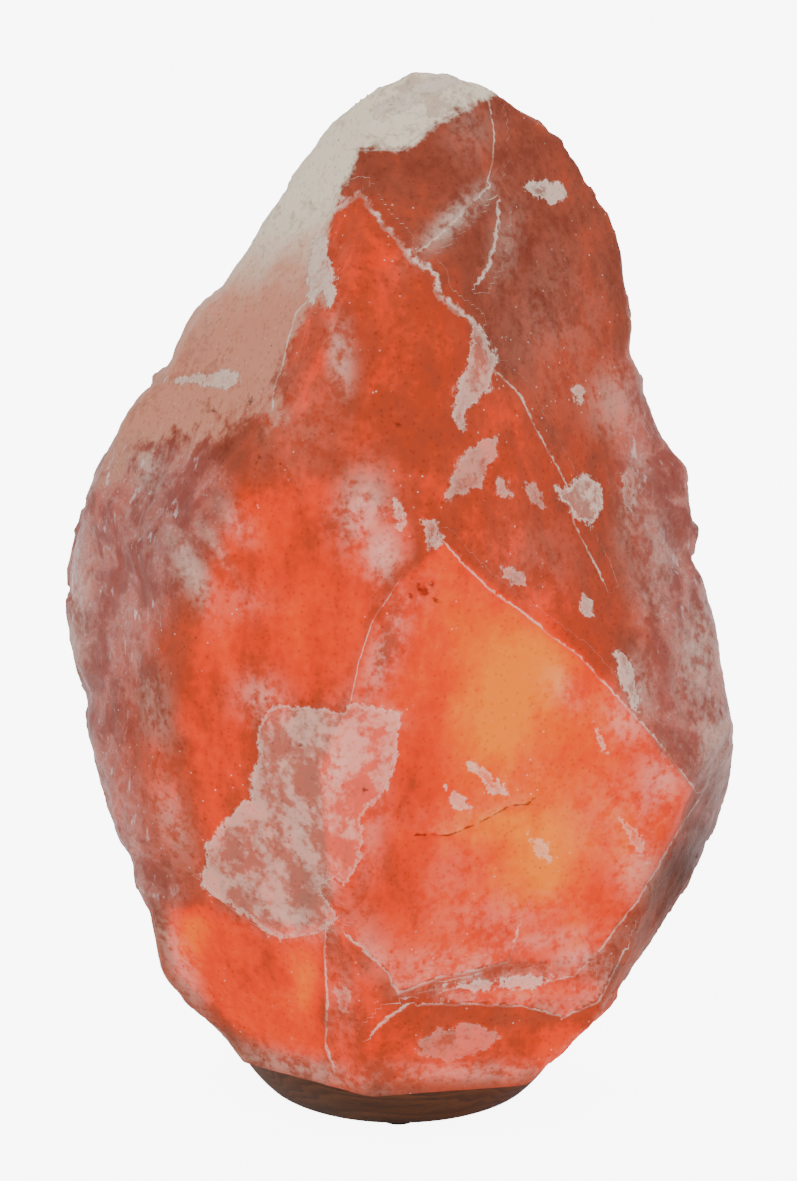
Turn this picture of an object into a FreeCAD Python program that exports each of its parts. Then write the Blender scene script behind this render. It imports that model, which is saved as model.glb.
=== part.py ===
import FreeCAD, Part
import math
import os
import re

import Sketcher

# A salt crystal lamp: a hewn salt boulder on a turned wooden base, with a small screw bulb on a
# pull-out lamp holder inside it. Millimetres, +Z up, the front towards -Y. The origin is on the
# surface that the lamp stands on, under the middle of the boulder.

Vector = FreeCAD.Vector
NEAR_ZERO = 1e-6

SIZES = [
    ("crystalWidth", 193.0, "boulder, side to side"),
    ("crystalDepth", 143.0, "boulder, front to back"),
    ("crystalHeight", 281.5, "boulder, from its sawn underside to its tip"),
    ("cavityRadius", 25.0, "bore drilled up into the boulder"),
    ("cavityDepth", 122.0, "bore, from the boulder's underside to the top of its dome"),
    ("padThickness", 1.5, "felt pad under the base"),
    ("padRadius", 5.0, "felt pad"),
    ("padCircle", 33.5, "radius that the pads stand on"),
    ("baseThickness", 16.0, "turned base without its pads"),
    ("footRadius", 40.5, "base where it meets the pads"),
    ("rimRadius", 50.0, "base where it meets the boulder"),
    ("sideCurve", 42.0, "radius of the base's rounded side"),
    ("rimEdge", 1.2, "bevel at the base's rim"),
    ("screwCircle", 32.0, "radius that the base screws stand on"),
    ("screwRadius", 2.2, "base screw's shank"),
    ("screwLength", 34.0, "base screw, under its head"),
    ("screwHeadRadius", 4.0, "base screw's head"),
    ("screwHeadHeight", 2.6, "base screw's head"),
    ("washerRadius", 5.0, "washer under a base screw's head"),
    ("washerThickness", 1.0, "washer under a base screw's head"),
    ("counterboreDepth", 5.0, "hole that hides a screw's head and washer"),
    ("plugRadius", 4.0, "plastic plug in the boulder"),
    ("plugLength", 30.0, "plastic plug in the boulder"),
    ("fitGap", 0.1, "clearance of pieces that are fixed together"),
    ("cableHeight", 9.5, "cable inlet above the base's underside"),
    ("cableRadius", 2.8, "bore of the cable grommet"),
    ("grommetRadius", 4.2, "grommet's neck"),
    ("grommetFlangeRadius", 6.2, "grommet's flange"),
    ("grommetFlangeThickness", 2.5, "grommet's flange"),
    ("grommetInset", 8.0, "from the base's rim in to the flat that the flange sits on"),
    ("grommetRecess", 4.0, "from the hole through the base out to the grommet's neck"),
    ("holderLift", 2.0, "holder's cover above the base's underside"),
    ("coverLip", 0.5, "holder's cover beyond its housing"),
    ("coverThickness", 3.0, "holder's cover"),
    ("spigotHeight", 1.2, "rim of the cover inside the housing"),
    ("housingRadius", 15.0, "holder's housing"),
    ("holderWay", 6.0, "room round the housing in the hole through the base"),
    ("housingWall", 1.9, "holder's housing"),
    ("housingHeight", 38.0, "holder's housing"),
    ("housingLip", 2.0, "thickness of the housing's top"),
    ("mouthRadius", 9.6, "hole in the housing's top"),
    ("shoulderStep", 0.9, "ledge in the housing that the carrier bears on"),
    ("carrierThickness", 5.0, "insulating disc that holds the contacts"),
    ("carrierHeight", 10.5, "carrier's underside above the cover"),
    ("contactThickness", 0.6, "centre contact's strip"),
    ("contactWidth", 4.0, "centre contact's strip"),
    ("contactRise", 2.7, "centre contact's top above the carrier"),
    ("contactReach", 6.0, "centre contact's foot, from the axis"),
    ("contactGap", 0.3, "bulb's tip above the centre contact"),
    ("threadPitch", 2.82, "bulb's screw thread"),
    ("capCrest", 6.95, "cap's thread, outer radius"),
    ("capRoot", 6.15, "cap's thread, inner radius"),
    ("capWall", 0.5, "sheet of the cap"),
    ("capHeight", 14.8, "cap's metal shell"),
    ("capSkirtRadius", 7.4, "rim of the cap around the glass"),
    ("capSkirtHeight", 2.2, "rim of the cap around the glass"),
    ("threadTurns", 4.0, "turns of the thread"),
    ("ridgeRootWidth", 1.5, "thread's ridge at its root"),
    ("ridgeCrestWidth", 0.7, "thread's ridge at its crest"),
    ("threadGap", 0.35, "clearance from cap to screw shell"),
    ("shellWall", 0.8, "sheet of the screw shell"),
    ("shellHeadroom", 1.0, "screw shell below the top of the housing"),
    ("shellFlange", 10.8, "screw shell's flange radius"),
    ("shellFlangeThickness", 0.8, "screw shell's flange"),
    ("blockWidth", 6.0, "terminal block, front to back and up"),
    ("blockLength", 7.0, "terminal block, away from the axis"),
    ("blockRivetEdge", 1.2, "rivet from the end of its terminal block"),
    ("terminalScrewRadius", 1.25, "terminal screw's shank"),
    ("terminalHeadRadius", 2.2, "terminal screw's head"),
    ("terminalHeadHeight", 1.6, "terminal screw's head"),
    ("terminalScrewLength", 4.2, "terminal screw's shank"),
    ("rivetRadius", 0.8, "contact rivet's shank"),
    ("rivetHeadRadius", 1.1, "contact rivet's head"),
    ("rivetHeadHeight", 0.5, "contact rivet's head"),
    ("footRivetReach", 4.4, "rivet of the centre contact, from the axis"),
    ("flangeRivetReach", 9.4, "rivet of the screw shell, from the axis"),
    ("coverScrewCircle", 9.2, "radius that the cover's screws stand on"),
    ("coverScrewRadius", 1.4, "cover screw's shank"),
    ("coverScrewHeadRadius", 2.5, "cover screw's head"),
    ("coverScrewHeadHeight", 1.6, "cover screw's head"),
    ("wireHoleRadius", 3.0, "cable hole in the housing's side"),
    ("bracketHeight", 5.0, "spring clips' strap round the housing"),
    ("bracketThickness", 0.7, "spring clips' strap"),
    ("bracketDrop", 10.7, "strap's lower edge below the top of the housing"),
    ("earThickness", 1.0, "strap's ear"),
    ("pinStandOff", 2.15, "clip's pin from the strap"),
    ("pinRadius", 1.0, "clip's pin"),
    ("pinGap", 0.05, "running clearance of a clip on its pin"),
    ("eyeRadius", 1.7, "clip's rolled eye"),
    ("clipWidth", 8.6, "spring clip"),
    ("clipThickness", 0.8, "spring clip"),
    ("clipSideGap", 0.3, "clip to each ear"),
    ("clipWallGap", 0.9, "clip's widest place inside the hole of the base"),
    ("clipBearing", 3.7, "clip's widest place below the top of the base"),
    ("clipTail", 4.7, "turned-in end of the clip below its widest place"),
    ("tailTurn", 0.6, "how far the clip's end turns in"),
    ("glassRadius", 13.0, "bulb's glass"),
    ("glassWall", 0.8, "bulb's glass"),
    ("bulbLength", 58.0, "bulb, from its tip to the top of its glass"),
    ("glassNeckRadius", 5.5, "bulb's glass where it enters the cap"),
    ("glassNeckDepth", 6.0, "glass neck inside the cap"),
    ("glassShoulder", 5.0, "widest sphere to the cone below it"),
    ("tipRadius", 2.4, "solder contact under the bulb"),
    ("tipHeight", 1.2, "solder contact under the bulb"),
    ("insulatorHeight", 3.0, "glass insulator under the cap"),
    ("insulatorTop", 6.0, "insulator's radius at the cap"),
    ("stemHeight", 17.0, "bulb's glass stem"),
    ("stemFootRadius", 3.0, "stem at its foot"),
    ("stemTopRadius", 1.6, "stem at its top"),
    ("stemFlareThickness", 1.2, "flare that joins the stem to the neck"),
    ("leadRadius", 0.35, "lead wires"),
    ("supportRadius", 0.2, "filament's supports"),
    ("filamentRadius", 0.25, "filament"),
    ("filamentSpan", 7.0, "filament's ends, from the axis"),
    ("filamentRise", 10.0, "filament's ends above the stem"),
    ("filamentSag", 2.6, "filament's middle above its ends"),
]

BASE_SCREWS = 4
FELT_PADS = 4
COVER_SCREWS = 2
SCREW_SPIN = 180.0 / BASE_SCREWS  # degrees from the right-hand side to the first base screw
COVER_SPIN = 60.0  # degrees from the right-hand side to the first cover screw
RIDGE_BITE = 0.15  # how far a thread's ridge is sunk into the sheet that it is rolled from

doc = FreeCAD.newDocument("SaltCrystalLamp")
sheet = doc.addObject("Spreadsheet::Sheet", "Sizes")
for row, (alias, number, note) in enumerate(SIZES, start=1):
    sheet.set("A%d" % row, alias)
    sheet.set("B%d" % row, str(number))
    sheet.set("C%d" % row, note)
    sheet.setAlias("B%d" % row, alias)
doc.recompute()

# Heights and radii that several pieces share, worked out from the sheet's cells.
PLACES = {
    "baseTop": "padThickness + baseThickness",
    "cavityTop": "padThickness + baseThickness + cavityDepth",
    "counterboreTop": "padThickness + counterboreDepth",
    "cableLevel": "padThickness + cableHeight",
    "coverBottom": "padThickness + holderLift",
    "coverTop": "padThickness + holderLift + coverThickness",
    "coverRadius": "housingRadius + coverLip",
    "baseBore": "housingRadius + holderWay",
    "grommetSeat": "rimRadius - grommetInset",
    "housingTop": "coverTop + housingHeight",
    "housingBore": "housingRadius - housingWall",
    "carrierBottom": "coverTop + carrierHeight",
    "carrierTop": "coverTop + carrierHeight + carrierThickness",
    "contactTop": "carrierTop + contactRise",
    "bulbTip": "contactTop + contactGap",
    "insulatorBottom": "bulbTip + tipHeight",
    "capBottom": "bulbTip + tipHeight + insulatorHeight",
    "capTop": "capBottom + capHeight",
    "ridgeBottom": "capBottom + threadPitch / 2",
    "shellMajor": "capCrest + threadGap",
    "shellMinor": "capRoot + threadGap",
    "shellTop": "housingTop - housingLip - shellHeadroom",
    "leftBlockReach": "footRivetReach - blockRivetEdge + blockLength / 2",
    "rightBlockReach": "flangeRivetReach + blockRivetEdge - blockLength / 2",
    "bulbMiddle": "bulbTip + bulbLength - glassRadius",
    "stemBottom": "capTop - glassNeckDepth + 1.5 * stemFlareThickness",
    "stemTop": "stemBottom + stemHeight",
    "strapRadius": "housingRadius + fitGap / 2 + bracketThickness",
    "bracketBottom": "housingTop - bracketDrop",
    "pivotLevel": "bracketBottom + bracketHeight / 2",
    "pivotReach": "strapRadius + pinStandOff",
    "clipReach": "sqrt((baseBore - clipWallGap / 2) ^ 2 - (clipWidth / 2) ^ 2)",
}


def spelled(expression):
    """The expression in terms of the sheet's cells, with the shared places written out."""
    for name in reversed(list(PLACES)):
        expression = re.sub(r"\b%s\b" % name, "(%s)" % PLACES[name], expression)
    return re.sub(r"\b([a-z]+[A-Z]\w*)\b", r"Sizes.\1", expression)


def size(expression):
    """The number that an expression stands for now."""
    return float(sheet.evalExpression(spelled(str(expression))))


def bind(obj, **properties):
    for name, expression in properties.items():
        obj.setExpression(name.replace("_", "."), spelled(expression))


def place(obj, x="0", y="0", z="0"):
    bind(obj, Placement_Base_x=x, Placement_Base_y=y, Placement_Base_z=z)


# --- sketches and bodies -------------------------------------------------------------------


def new_body(label):
    body = doc.addObject("PartDesign::Body", label)
    body.Label = label
    body.AllowCompound = True
    return body


def origin_plane(body, role):
    return next(item for item in body.Origin.OriginFeatures if item.Role == role)


def attached_sketch(body, name, role, spin=0.0):
    """A sketch on one of the body's planes, turned about the sketch's own vertical axis."""
    sketch = body.newObject("Sketcher::SketchObject", name)
    sketch.AttachmentSupport = (origin_plane(body, role), [""])
    sketch.MapMode = "FlatFace"
    sketch.AttachmentOffset = FreeCAD.Placement(Vector(), FreeCAD.Rotation(Vector(0, 1, 0), spin))
    return sketch


def hold_point(sketch, edge, end, across, upward):
    """Ties one end of an edge to its place, across and upward from the sketch's origin."""
    for kind, expression in (("DistanceX", across), ("DistanceY", upward)):
        number = size(expression)
        if abs(number) < NEAR_ZERO:
            axis = -2 if kind == "DistanceX" else -1
            sketch.addConstraint(Sketcher.Constraint("PointOnObject", edge, end, axis))
            continue
        index = sketch.addConstraint(Sketcher.Constraint(kind, -1, 1, edge, end, number))
        sketch.setExpression("Constraints[%d]" % index, spelled(expression))


def arc_between(start, end, radius):
    """The arc that bulges to the right of the way from start to end."""
    chord = end - start
    half = chord.Length / 2
    side = Vector(chord.y, -chord.x, 0).normalize()
    rise = radius - math.sqrt(radius * radius - half * half)
    return Part.Arc(start, (start + end) / 2 + side * rise, end)


def draw_outline(sketch, outline):
    """A closed outline. A point is (across, upward); ("arc", radius) curves the next edge."""
    points = []
    curves = {}
    for item in outline:
        if item[0] == "arc":
            curves[len(points) - 1] = item[1]
        else:
            points.append(item)
    corners = [Vector(size(across), size(upward), 0) for across, upward in points]
    count = len(corners)
    for index, corner in enumerate(corners):
        following = corners[(index + 1) % count]
        if index in curves:
            sketch.addGeometry(arc_between(corner, following, size(curves[index])))
        else:
            sketch.addGeometry(Part.LineSegment(corner, following))
    for index in range(count):
        sketch.addConstraint(Sketcher.Constraint("Coincident", index, 2, (index + 1) % count, 1))
        hold_point(sketch, index, 1, *points[index])
    for index, radius in curves.items():
        constraint = sketch.addConstraint(Sketcher.Constraint("Radius", index, size(radius)))
        sketch.setExpression("Constraints[%d]" % constraint, spelled(radius))


def draw_axis(sketch, start, end):
    """A construction line to turn about, drawn after the outline."""
    line = Part.LineSegment(Vector(*map(size, start), 0), Vector(*map(size, end), 0))
    edge = sketch.addGeometry(line, True)
    hold_point(sketch, edge, 1, *start)
    hold_point(sketch, edge, 2, *end)
    return (sketch, ["Axis0"])


def ring_of(body, feature, count):
    """The feature repeated evenly about the lamp's axis."""
    doc.recompute()
    pattern = body.newObject("PartDesign::PolarPattern", feature.Name + "Ring")
    pattern.Originals = [feature]
    pattern.Axis = (origin_plane(body, "Z_Axis"), [""])
    pattern.Angle = 360
    pattern.Occurrences = count
    body.Tip = pattern


def turned(body, name, outline, circle=None, count=1, spin=0.0, cutting=False):
    """Turns an outline about the lamp's axis, or about an axis of its own at radius circle."""
    sketch = attached_sketch(body, name + "Sketch", "XZ_Plane", spin)
    if circle is None:
        draw_outline(sketch, outline)
        axis = (sketch, ["V_Axis"])
    else:
        moved = [("%s + %s" % (circle, across), upward) for across, upward in outline]
        draw_outline(sketch, moved)
        axis = draw_axis(sketch, moved[0], moved[-1])
    feature = body.newObject("PartDesign::Groove" if cutting else "PartDesign::Revolution", name)
    feature.Profile = sketch
    feature.ReferenceAxis = axis
    feature.Angle = 360
    sketch.Visibility = False
    if count > 1:
        ring_of(body, feature, count)
    return feature


def turned_about_y(body, name, outline, height, cutting=False):
    """Turns an outline about a level axis that runs to the back at the given height."""
    sketch = attached_sketch(body, name + "Sketch", "YZ_Plane")
    moved = [(across, "%s + %s" % (height, upward)) for across, upward in outline]
    draw_outline(sketch, moved)
    feature = body.newObject("PartDesign::Groove" if cutting else "PartDesign::Revolution", name)
    feature.Profile = sketch
    feature.ReferenceAxis = draw_axis(sketch, (outline[0][0], height), (outline[1][0], height))
    feature.Angle = 360
    return feature


def padded(body, name, outline, width):
    """An outline in the plane of the lamp's axis, thickened evenly to the front and back."""
    sketch = attached_sketch(body, name + "Sketch", "XZ_Plane")
    draw_outline(sketch, outline)
    feature = body.newObject("PartDesign::Pad", name)
    feature.Profile = sketch
    feature.SideType = "Symmetric"
    bind(feature, Length=width)
    return feature


def turned_piece(label, outline, **options):
    body = new_body(label)
    turned(body, label.title().replace("_", ""), outline, **options)
    return body


# --- primitives and booleans ---------------------------------------------------------------


def cylinder(name, radius, height, x="0", y="0", z="0", rotation=None):
    obj = doc.addObject("Part::Cylinder", name)
    bind(obj, Radius=radius, Height=height)
    if rotation:
        obj.Placement = FreeCAD.Placement(Vector(), rotation)
    place(obj, x, y, z)
    return obj


def cone(name, lower, upper, height, z):
    obj = doc.addObject("Part::Cone", name)
    bind(obj, Radius1=lower, Radius2=upper, Height=height)
    place(obj, z=z)
    return obj


def sphere(name, radius, z):
    obj = doc.addObject("Part::Sphere", name)
    bind(obj, Radius=radius)
    place(obj, z=z)
    return obj


def box(name, length, width, height, x, y, z):
    """A block whose lowest corner is at x, y, z."""
    obj = doc.addObject("Part::Box", name)
    bind(obj, Length=length, Width=width, Height=height)
    place(obj, x, y, z)
    return obj


def fused(name, parts):
    obj = doc.addObject("Part::MultiFuse", name)
    obj.Shapes = parts
    obj.Label = name
    return obj


def cut(name, base, tool):
    obj = doc.addObject("Part::Cut", name)
    obj.Base = base
    obj.Tool = tool
    obj.Label = name
    return obj


def grouped(name, parts):
    obj = doc.addObject("Part::Compound", name)
    obj.Links = parts
    obj.Label = name
    return obj


def shaped(label, shape):
    """A piece whose shape is worked out in code from the sheet's numbers."""
    obj = doc.addObject("Part::Feature", label)
    obj.Shape = shape
    obj.Label = label
    return obj


def along_y(name, radius, length, x, z):
    """A cylinder across the lamp's axis from front to back, its middle at x, z."""
    turn = FreeCAD.Rotation(Vector(1, 0, 0), -90)
    return cylinder(name, radius, length, x=x, y="-(%s) / 2" % length, z=z, rotation=turn)


# --- the salt boulder ----------------------------------------------------------------------

# Each flat face of the boulder: azimuth of its outward normal (0 at the front, +90 at the
# right), how far the normal tilts up, and its distance from the middle of the layout. They are
# laid out on a block of the size below, and stretch with the boulder.
LAYOUT = Vector(193.0, 143.0, 281.5)
LAYOUT_MIDDLE = Vector(0, 0, 132.5)
FACES = [
    ("left_crown", -104, 56, 121.5),
    ("left_shoulder", -96, 35, 92.0),
    ("left_temple", -93, 27, 92.0),
    ("left_cheek", -90, 16, 92.6),
    ("left_jaw", -82, -9, 95.0),
    ("left_hip", -80, -15, 97.0),
    ("left_heel", -68, -38, 124.0),
    ("crown", 123, 73, 143.5),
    ("right_crown", 99, 47, 123.8),
    ("right_temple", 95, 33, 107.4),
    ("right_shoulder", 91, 17, 88.6),
    ("right_cheek", 89, 11, 87.0),
    ("right_jaw", 81, -12, 104.0),
    ("right_hip", 74, -27, 113.0),
    ("right_heel", 65, -41, 128.0),
    ("belly", 21, -1, 62.0),
    ("brow", 8, 17, 69.0),
    ("left_chest", -26, 9, 65.0),
    ("left_belly", -32, -6, 73.0),
    ("right_chest", 42, 16, 64.0),
    ("right_brow", 49, 25, 75.5),
    ("right_cheekbone", 50, 18, 64.9),
    ("forehead", 8, 36, 90.0),
    ("right_flank", 64, -14, 96.5),
    ("lower_lip", 10, -13, 84.0),
    ("left_brow", -56, 28, 76.5),
    ("left_flank", -57, 4, 75.2),
    ("left_lip", -40, -26, 94.8),
    ("back_chest", 172, 20, 66.0),
    ("back_belly", -166, -3, 67.0),
    ("back_right", 128, 7, 74.0),
    ("back_left", -126, 10, 96.0),
    ("back_right_hip", 142, -26, 101.0),
    ("back_left_hip", -140, -24, 96.0),
    ("back_crown", 176, 44, 106.0),
    ("back_left_shoulder", -118, 36, 99.0),
    ("back_right_shoulder", 116, 26, 100.0),
    ("back_lip", 178, -30, 108.0),
    ("back_waist", -177, 9, 66.4),
    ("back_nape", 174, 32, 85.2),
    ("back_right_nape", 145, 26, 89.0),
    ("back_left_nape", -156, 33, 93.6),
    ("back_right_blade", 149, 15, 73.0),
    ("back_left_blade", -146, 4, 84.6),
    ("back_right_ear", 112, 13, 85.4),
    ("back_left_ear", -120, 23, 97.2),
    ("back_right_loin", 135, -10, 89.2),
    ("back_left_loin", -154, -14, 82.2),
    ("back_left_seat", -109, -22, 107.0),
    ("back_seat", -173, -17, 88.0),
]
# Where two faces meet in a hollow, what lies beyond both is taken off: the upper, then the lower.
NOTCHES = [
    ("right_notch", (89, 9, 76.9), (95, 29, 87.7)),
    ("left_notch", (-75, -27, 107.0), (-84, -6, 81.8)),
]


def hewn_boulder():
    """A block with one slice taken off beyond each flat face and each notch."""
    width, depth, height = size("crystalWidth"), size("crystalDepth"), size("crystalHeight")
    bottom = size("baseTop")
    stretch = Vector(width / LAYOUT.x, depth / LAYOUT.y, height / LAYOUT.z)
    middle = Vector(0, 0, bottom + LAYOUT_MIDDLE.z * stretch.z)
    reach = 2 * max(width, depth, height)

    def beyond(azimuth, tilt, distance):
        level = math.cos(math.radians(tilt))
        normal = Vector(
            math.sin(math.radians(azimuth)) * level / stretch.x,
            -math.cos(math.radians(azimuth)) * level / stretch.y,
            math.sin(math.radians(tilt)) / stretch.z,
        )
        away = distance / normal.Length
        slice_box = Part.makeBox(reach, reach, reach, Vector(-reach / 2, -reach / 2, away))
        turn = FreeCAD.Rotation(Vector(0, 0, 1), normal)
        slice_box.Placement = FreeCAD.Placement(middle, turn)
        return slice_box

    boulder = Part.makeBox(width, depth, height, Vector(-width / 2, -depth / 2, bottom))
    for _, azimuth, tilt, distance in FACES:
        boulder = boulder.cut(beyond(azimuth, tilt, distance))
    for _, upper, lower in NOTCHES:
        boulder = boulder.cut(beyond(*upper).common(beyond(*lower)))
    return boulder.removeSplitter()


def ring_place(index):
    """Where base screw number index stands; the first is half a step past the right-hand side."""
    angle = (index + 0.5) * 360.0 / BASE_SCREWS
    return "screwCircle * cos(%g)" % angle, "screwCircle * sin(%g)" % angle


def make_crystal():
    block = shaped("boulder_block", hewn_boulder())
    straight = cylinder("CavityBore", "cavityRadius", "cavityDepth - cavityRadius", z="baseTop")
    dome = sphere("CavityDome", "cavityRadius", "cavityTop - cavityRadius")
    plug_holes = []
    for index in range(BASE_SCREWS):
        x, y = ring_place(index)
        hole = cylinder(
            "PlugHole%d" % index, "plugRadius + fitGap", "plugLength + fitGap", x, y, "baseTop"
        )
        plug_holes.append(hole)
    return cut("salt_crystal", block, fused("DrilledHoles", [straight, dome] + plug_holes))


# --- the base and what fixes it ------------------------------------------------------------

def make_base():
    body = new_body("wood_base")
    outline = [
        ("baseBore", "padThickness"),
        ("footRadius", "padThickness"),
        ("arc", "sideCurve"),
        ("rimRadius", "baseTop - rimEdge"),
        ("rimRadius - rimEdge", "baseTop"),
        ("baseBore", "baseTop"),
    ]
    turned(body, "BaseTurning", outline)
    screw_hole = [
        ("0", "padThickness"),
        ("washerRadius + fitGap", "padThickness"),
        ("washerRadius + fitGap", "counterboreTop"),
        ("screwRadius + fitGap", "counterboreTop"),
        ("screwRadius + fitGap", "baseTop"),
        ("0", "baseTop"),
    ]
    turned(
        body, "ScrewHole", screw_hole,
        circle="screwCircle", count=BASE_SCREWS, spin=SCREW_SPIN, cutting=True,
    )
    cable_hole = [
        ("baseBore - housingWall", "0"),
        ("rimRadius + rimEdge", "0"),
        ("rimRadius + rimEdge", "grommetFlangeRadius + fitGap"),
        ("grommetSeat", "grommetFlangeRadius + fitGap"),
        ("grommetSeat", "grommetRadius + fitGap"),
        ("baseBore - housingWall", "grommetRadius + fitGap"),
    ]
    turned_about_y(body, "CableHole", cable_hole, "cableLevel", cutting=True)
    return body


def make_feet():
    outline = [
        ("0", "0"),
        ("padRadius", "0"),
        ("padRadius", "padThickness"),
        ("0", "padThickness"),
    ]
    return turned_piece("base_feet", outline, circle="padCircle", count=FELT_PADS)


def make_base_screws():
    head_top = "counterboreTop - washerThickness"
    head_bottom = "counterboreTop - washerThickness - screwHeadHeight"
    tip = "counterboreTop - washerThickness + screwLength"
    outline = [
        ("0", head_bottom),
        ("screwHeadRadius - screwHeadHeight / 3", head_bottom),
        ("screwHeadRadius", head_bottom + " + screwHeadHeight / 3"),
        ("screwHeadRadius", head_top),
        ("screwRadius", head_top),
        ("screwRadius", tip + " - screwRadius"),
        ("0", tip),
    ]
    return turned_piece(
        "base_screws", outline, circle="screwCircle", count=BASE_SCREWS, spin=SCREW_SPIN
    )


def make_washers():
    bottom = "counterboreTop - washerThickness"
    body = new_body("screw_washers")
    disc = [
        ("0", bottom),
        ("washerRadius", bottom),
        ("washerRadius", "counterboreTop"),
        ("0", "counterboreTop"),
    ]
    hole = [
        ("0", bottom),
        ("screwRadius + fitGap", bottom),
        ("screwRadius + fitGap", "counterboreTop"),
        ("0", "counterboreTop"),
    ]
    ring = dict(circle="screwCircle", count=BASE_SCREWS, spin=SCREW_SPIN)
    turned(body, "WasherDisc", disc, **ring)
    turned(body, "WasherHole", hole, cutting=True, **ring)
    return body


def make_plugs():
    top = "baseTop + plugLength"
    body = new_body("wall_plugs")
    sleeve = [
        ("0", "baseTop"),
        ("plugRadius", "baseTop"),
        ("plugRadius", top + " - plugRadius / 2"),
        ("plugRadius * 0.6", top),
        ("0", top),
    ]
    hole_top = "counterboreTop - washerThickness + screwLength + fitGap"
    hole = [
        ("0", "baseTop"),
        ("screwRadius + fitGap", "baseTop"),
        ("screwRadius + fitGap", hole_top),
        ("0", hole_top),
    ]
    ring = dict(circle="screwCircle", count=BASE_SCREWS, spin=SCREW_SPIN)
    turned(body, "PlugSleeve", sleeve, **ring)
    turned(body, "PlugHole", hole, cutting=True, **ring)
    return body


def make_grommet():
    body = new_body("cable_grommet")
    inner = "baseBore + grommetRecess"
    outer = "grommetSeat + grommetFlangeThickness"
    outline = [
        (inner, "cableRadius"),
        (outer, "cableRadius"),
        (outer, "grommetFlangeRadius"),
        ("grommetSeat", "grommetFlangeRadius"),
        ("grommetSeat", "grommetRadius"),
        (inner, "grommetRadius"),
    ]
    turned_about_y(body, "GrommetTurning", outline, "cableLevel")
    return body


# --- the lamp holder -----------------------------------------------------------------------


def make_housing():
    body = new_body("holder_housing")
    bore = "housingBore"
    outline = [
        (bore, "coverTop"),
        ("housingRadius", "coverTop"),
        ("housingRadius", "housingTop - housingLip / 2"),
        ("housingRadius - housingLip / 2", "housingTop"),
        ("mouthRadius", "housingTop"),
        ("mouthRadius", "housingTop - housingLip"),
        (bore + " - shoulderStep", "housingTop - housingLip"),
        (bore + " - shoulderStep", "carrierTop"),
        (bore, "carrierTop"),
    ]
    turned(body, "HousingTurning", outline)
    wire_hole = [
        ("housingBore - housingWall", "0"),
        ("housingRadius + housingWall", "0"),
        ("housingRadius + housingWall", "wireHoleRadius"),
        ("housingBore - housingWall", "wireHoleRadius"),
    ]
    turned_about_y(body, "WireHole", wire_hole, "cableLevel", cutting=True)
    return body


def make_cover():
    body = new_body("holder_cover")
    spigot = "housingBore - fitGap"
    outline = [
        ("0", "coverBottom"),
        ("coverRadius - coverThickness / 3", "coverBottom"),
        ("coverRadius", "coverBottom + coverThickness / 3"),
        ("coverRadius", "coverTop"),
        (spigot, "coverTop"),
        (spigot, "coverTop + spigotHeight"),
        (spigot + " - housingWall / 2", "coverTop + spigotHeight"),
        (spigot + " - housingWall / 2", "coverTop"),
        ("0", "coverTop"),
    ]
    turned(body, "CoverTurning", outline)
    head = "coverBottom + coverScrewHeadHeight"
    screw_hole = [
        ("0", "coverBottom"),
        ("coverScrewHeadRadius + fitGap", "coverBottom"),
        ("coverScrewHeadRadius + fitGap", head),
        ("coverScrewRadius + fitGap", head),
        ("coverScrewRadius + fitGap", "coverTop"),
        ("0", "coverTop"),
    ]
    turned(
        body, "CoverScrewHole", screw_hole,
        circle="coverScrewCircle", count=COVER_SCREWS, spin=COVER_SPIN, cutting=True,
    )
    return body


def make_cover_screws():
    head = "coverBottom + coverScrewHeadHeight"
    tip = "carrierTop - coverScrewRadius"
    outline = [
        ("0", "coverBottom"),
        ("coverScrewHeadRadius", "coverBottom"),
        ("coverScrewHeadRadius", head),
        ("coverScrewRadius", head),
        ("coverScrewRadius", tip + " - coverScrewRadius"),
        ("0", tip),
    ]
    return turned_piece(
        "cover_screws", outline, circle="coverScrewCircle", count=COVER_SCREWS, spin=COVER_SPIN
    )


def make_carrier():
    body = new_body("contact_carrier")
    disc = [
        ("0", "carrierBottom"),
        ("housingBore - fitGap", "carrierBottom"),
        ("housingBore - fitGap", "carrierTop"),
        ("0", "carrierTop"),
    ]
    turned(body, "CarrierDisc", disc)
    screw_top = "carrierTop - coverScrewRadius + fitGap"
    screw_hole = [
        ("0", "carrierBottom"),
        ("coverScrewRadius + fitGap", "carrierBottom"),
        ("coverScrewRadius + fitGap", screw_top),
        ("0", screw_top),
    ]
    turned(
        body, "CarrierScrewHole", screw_hole,
        circle="coverScrewCircle", count=COVER_SCREWS, spin=COVER_SPIN, cutting=True,
    )
    rivet_hole = [
        ("0", "carrierBottom"),
        ("rivetRadius + fitGap", "carrierBottom"),
        ("rivetRadius + fitGap", "carrierTop"),
        ("0", "carrierTop"),
    ]
    for name, reach in (("FootRivetHole", "-footRivetReach"), ("FlangeRivetHole", "flangeRivetReach")):
        turned(body, name, rivet_hole, circle=reach, cutting=True)
    return body


def helical_ridge(root, crest, root_width, crest_width, start, turns):
    """One thread ridge, from its root radius to its crest, rising round the lamp's axis."""
    pitch = size("threadPitch")
    middle = (root + crest) / 2
    path = Part.Wire(Part.makeHelix(pitch, pitch * turns, middle).Edges)
    corners = [
        Vector(root, 0, -root_width / 2),
        Vector(crest, 0, -crest_width / 2),
        Vector(crest, 0, crest_width / 2),
        Vector(root, 0, root_width / 2),
    ]
    profile = Part.makePolygon(corners + corners[:1])
    ridge = path.makePipeShell([profile], True, True)
    ridge.translate(Vector(0, 0, start))
    return ridge


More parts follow.
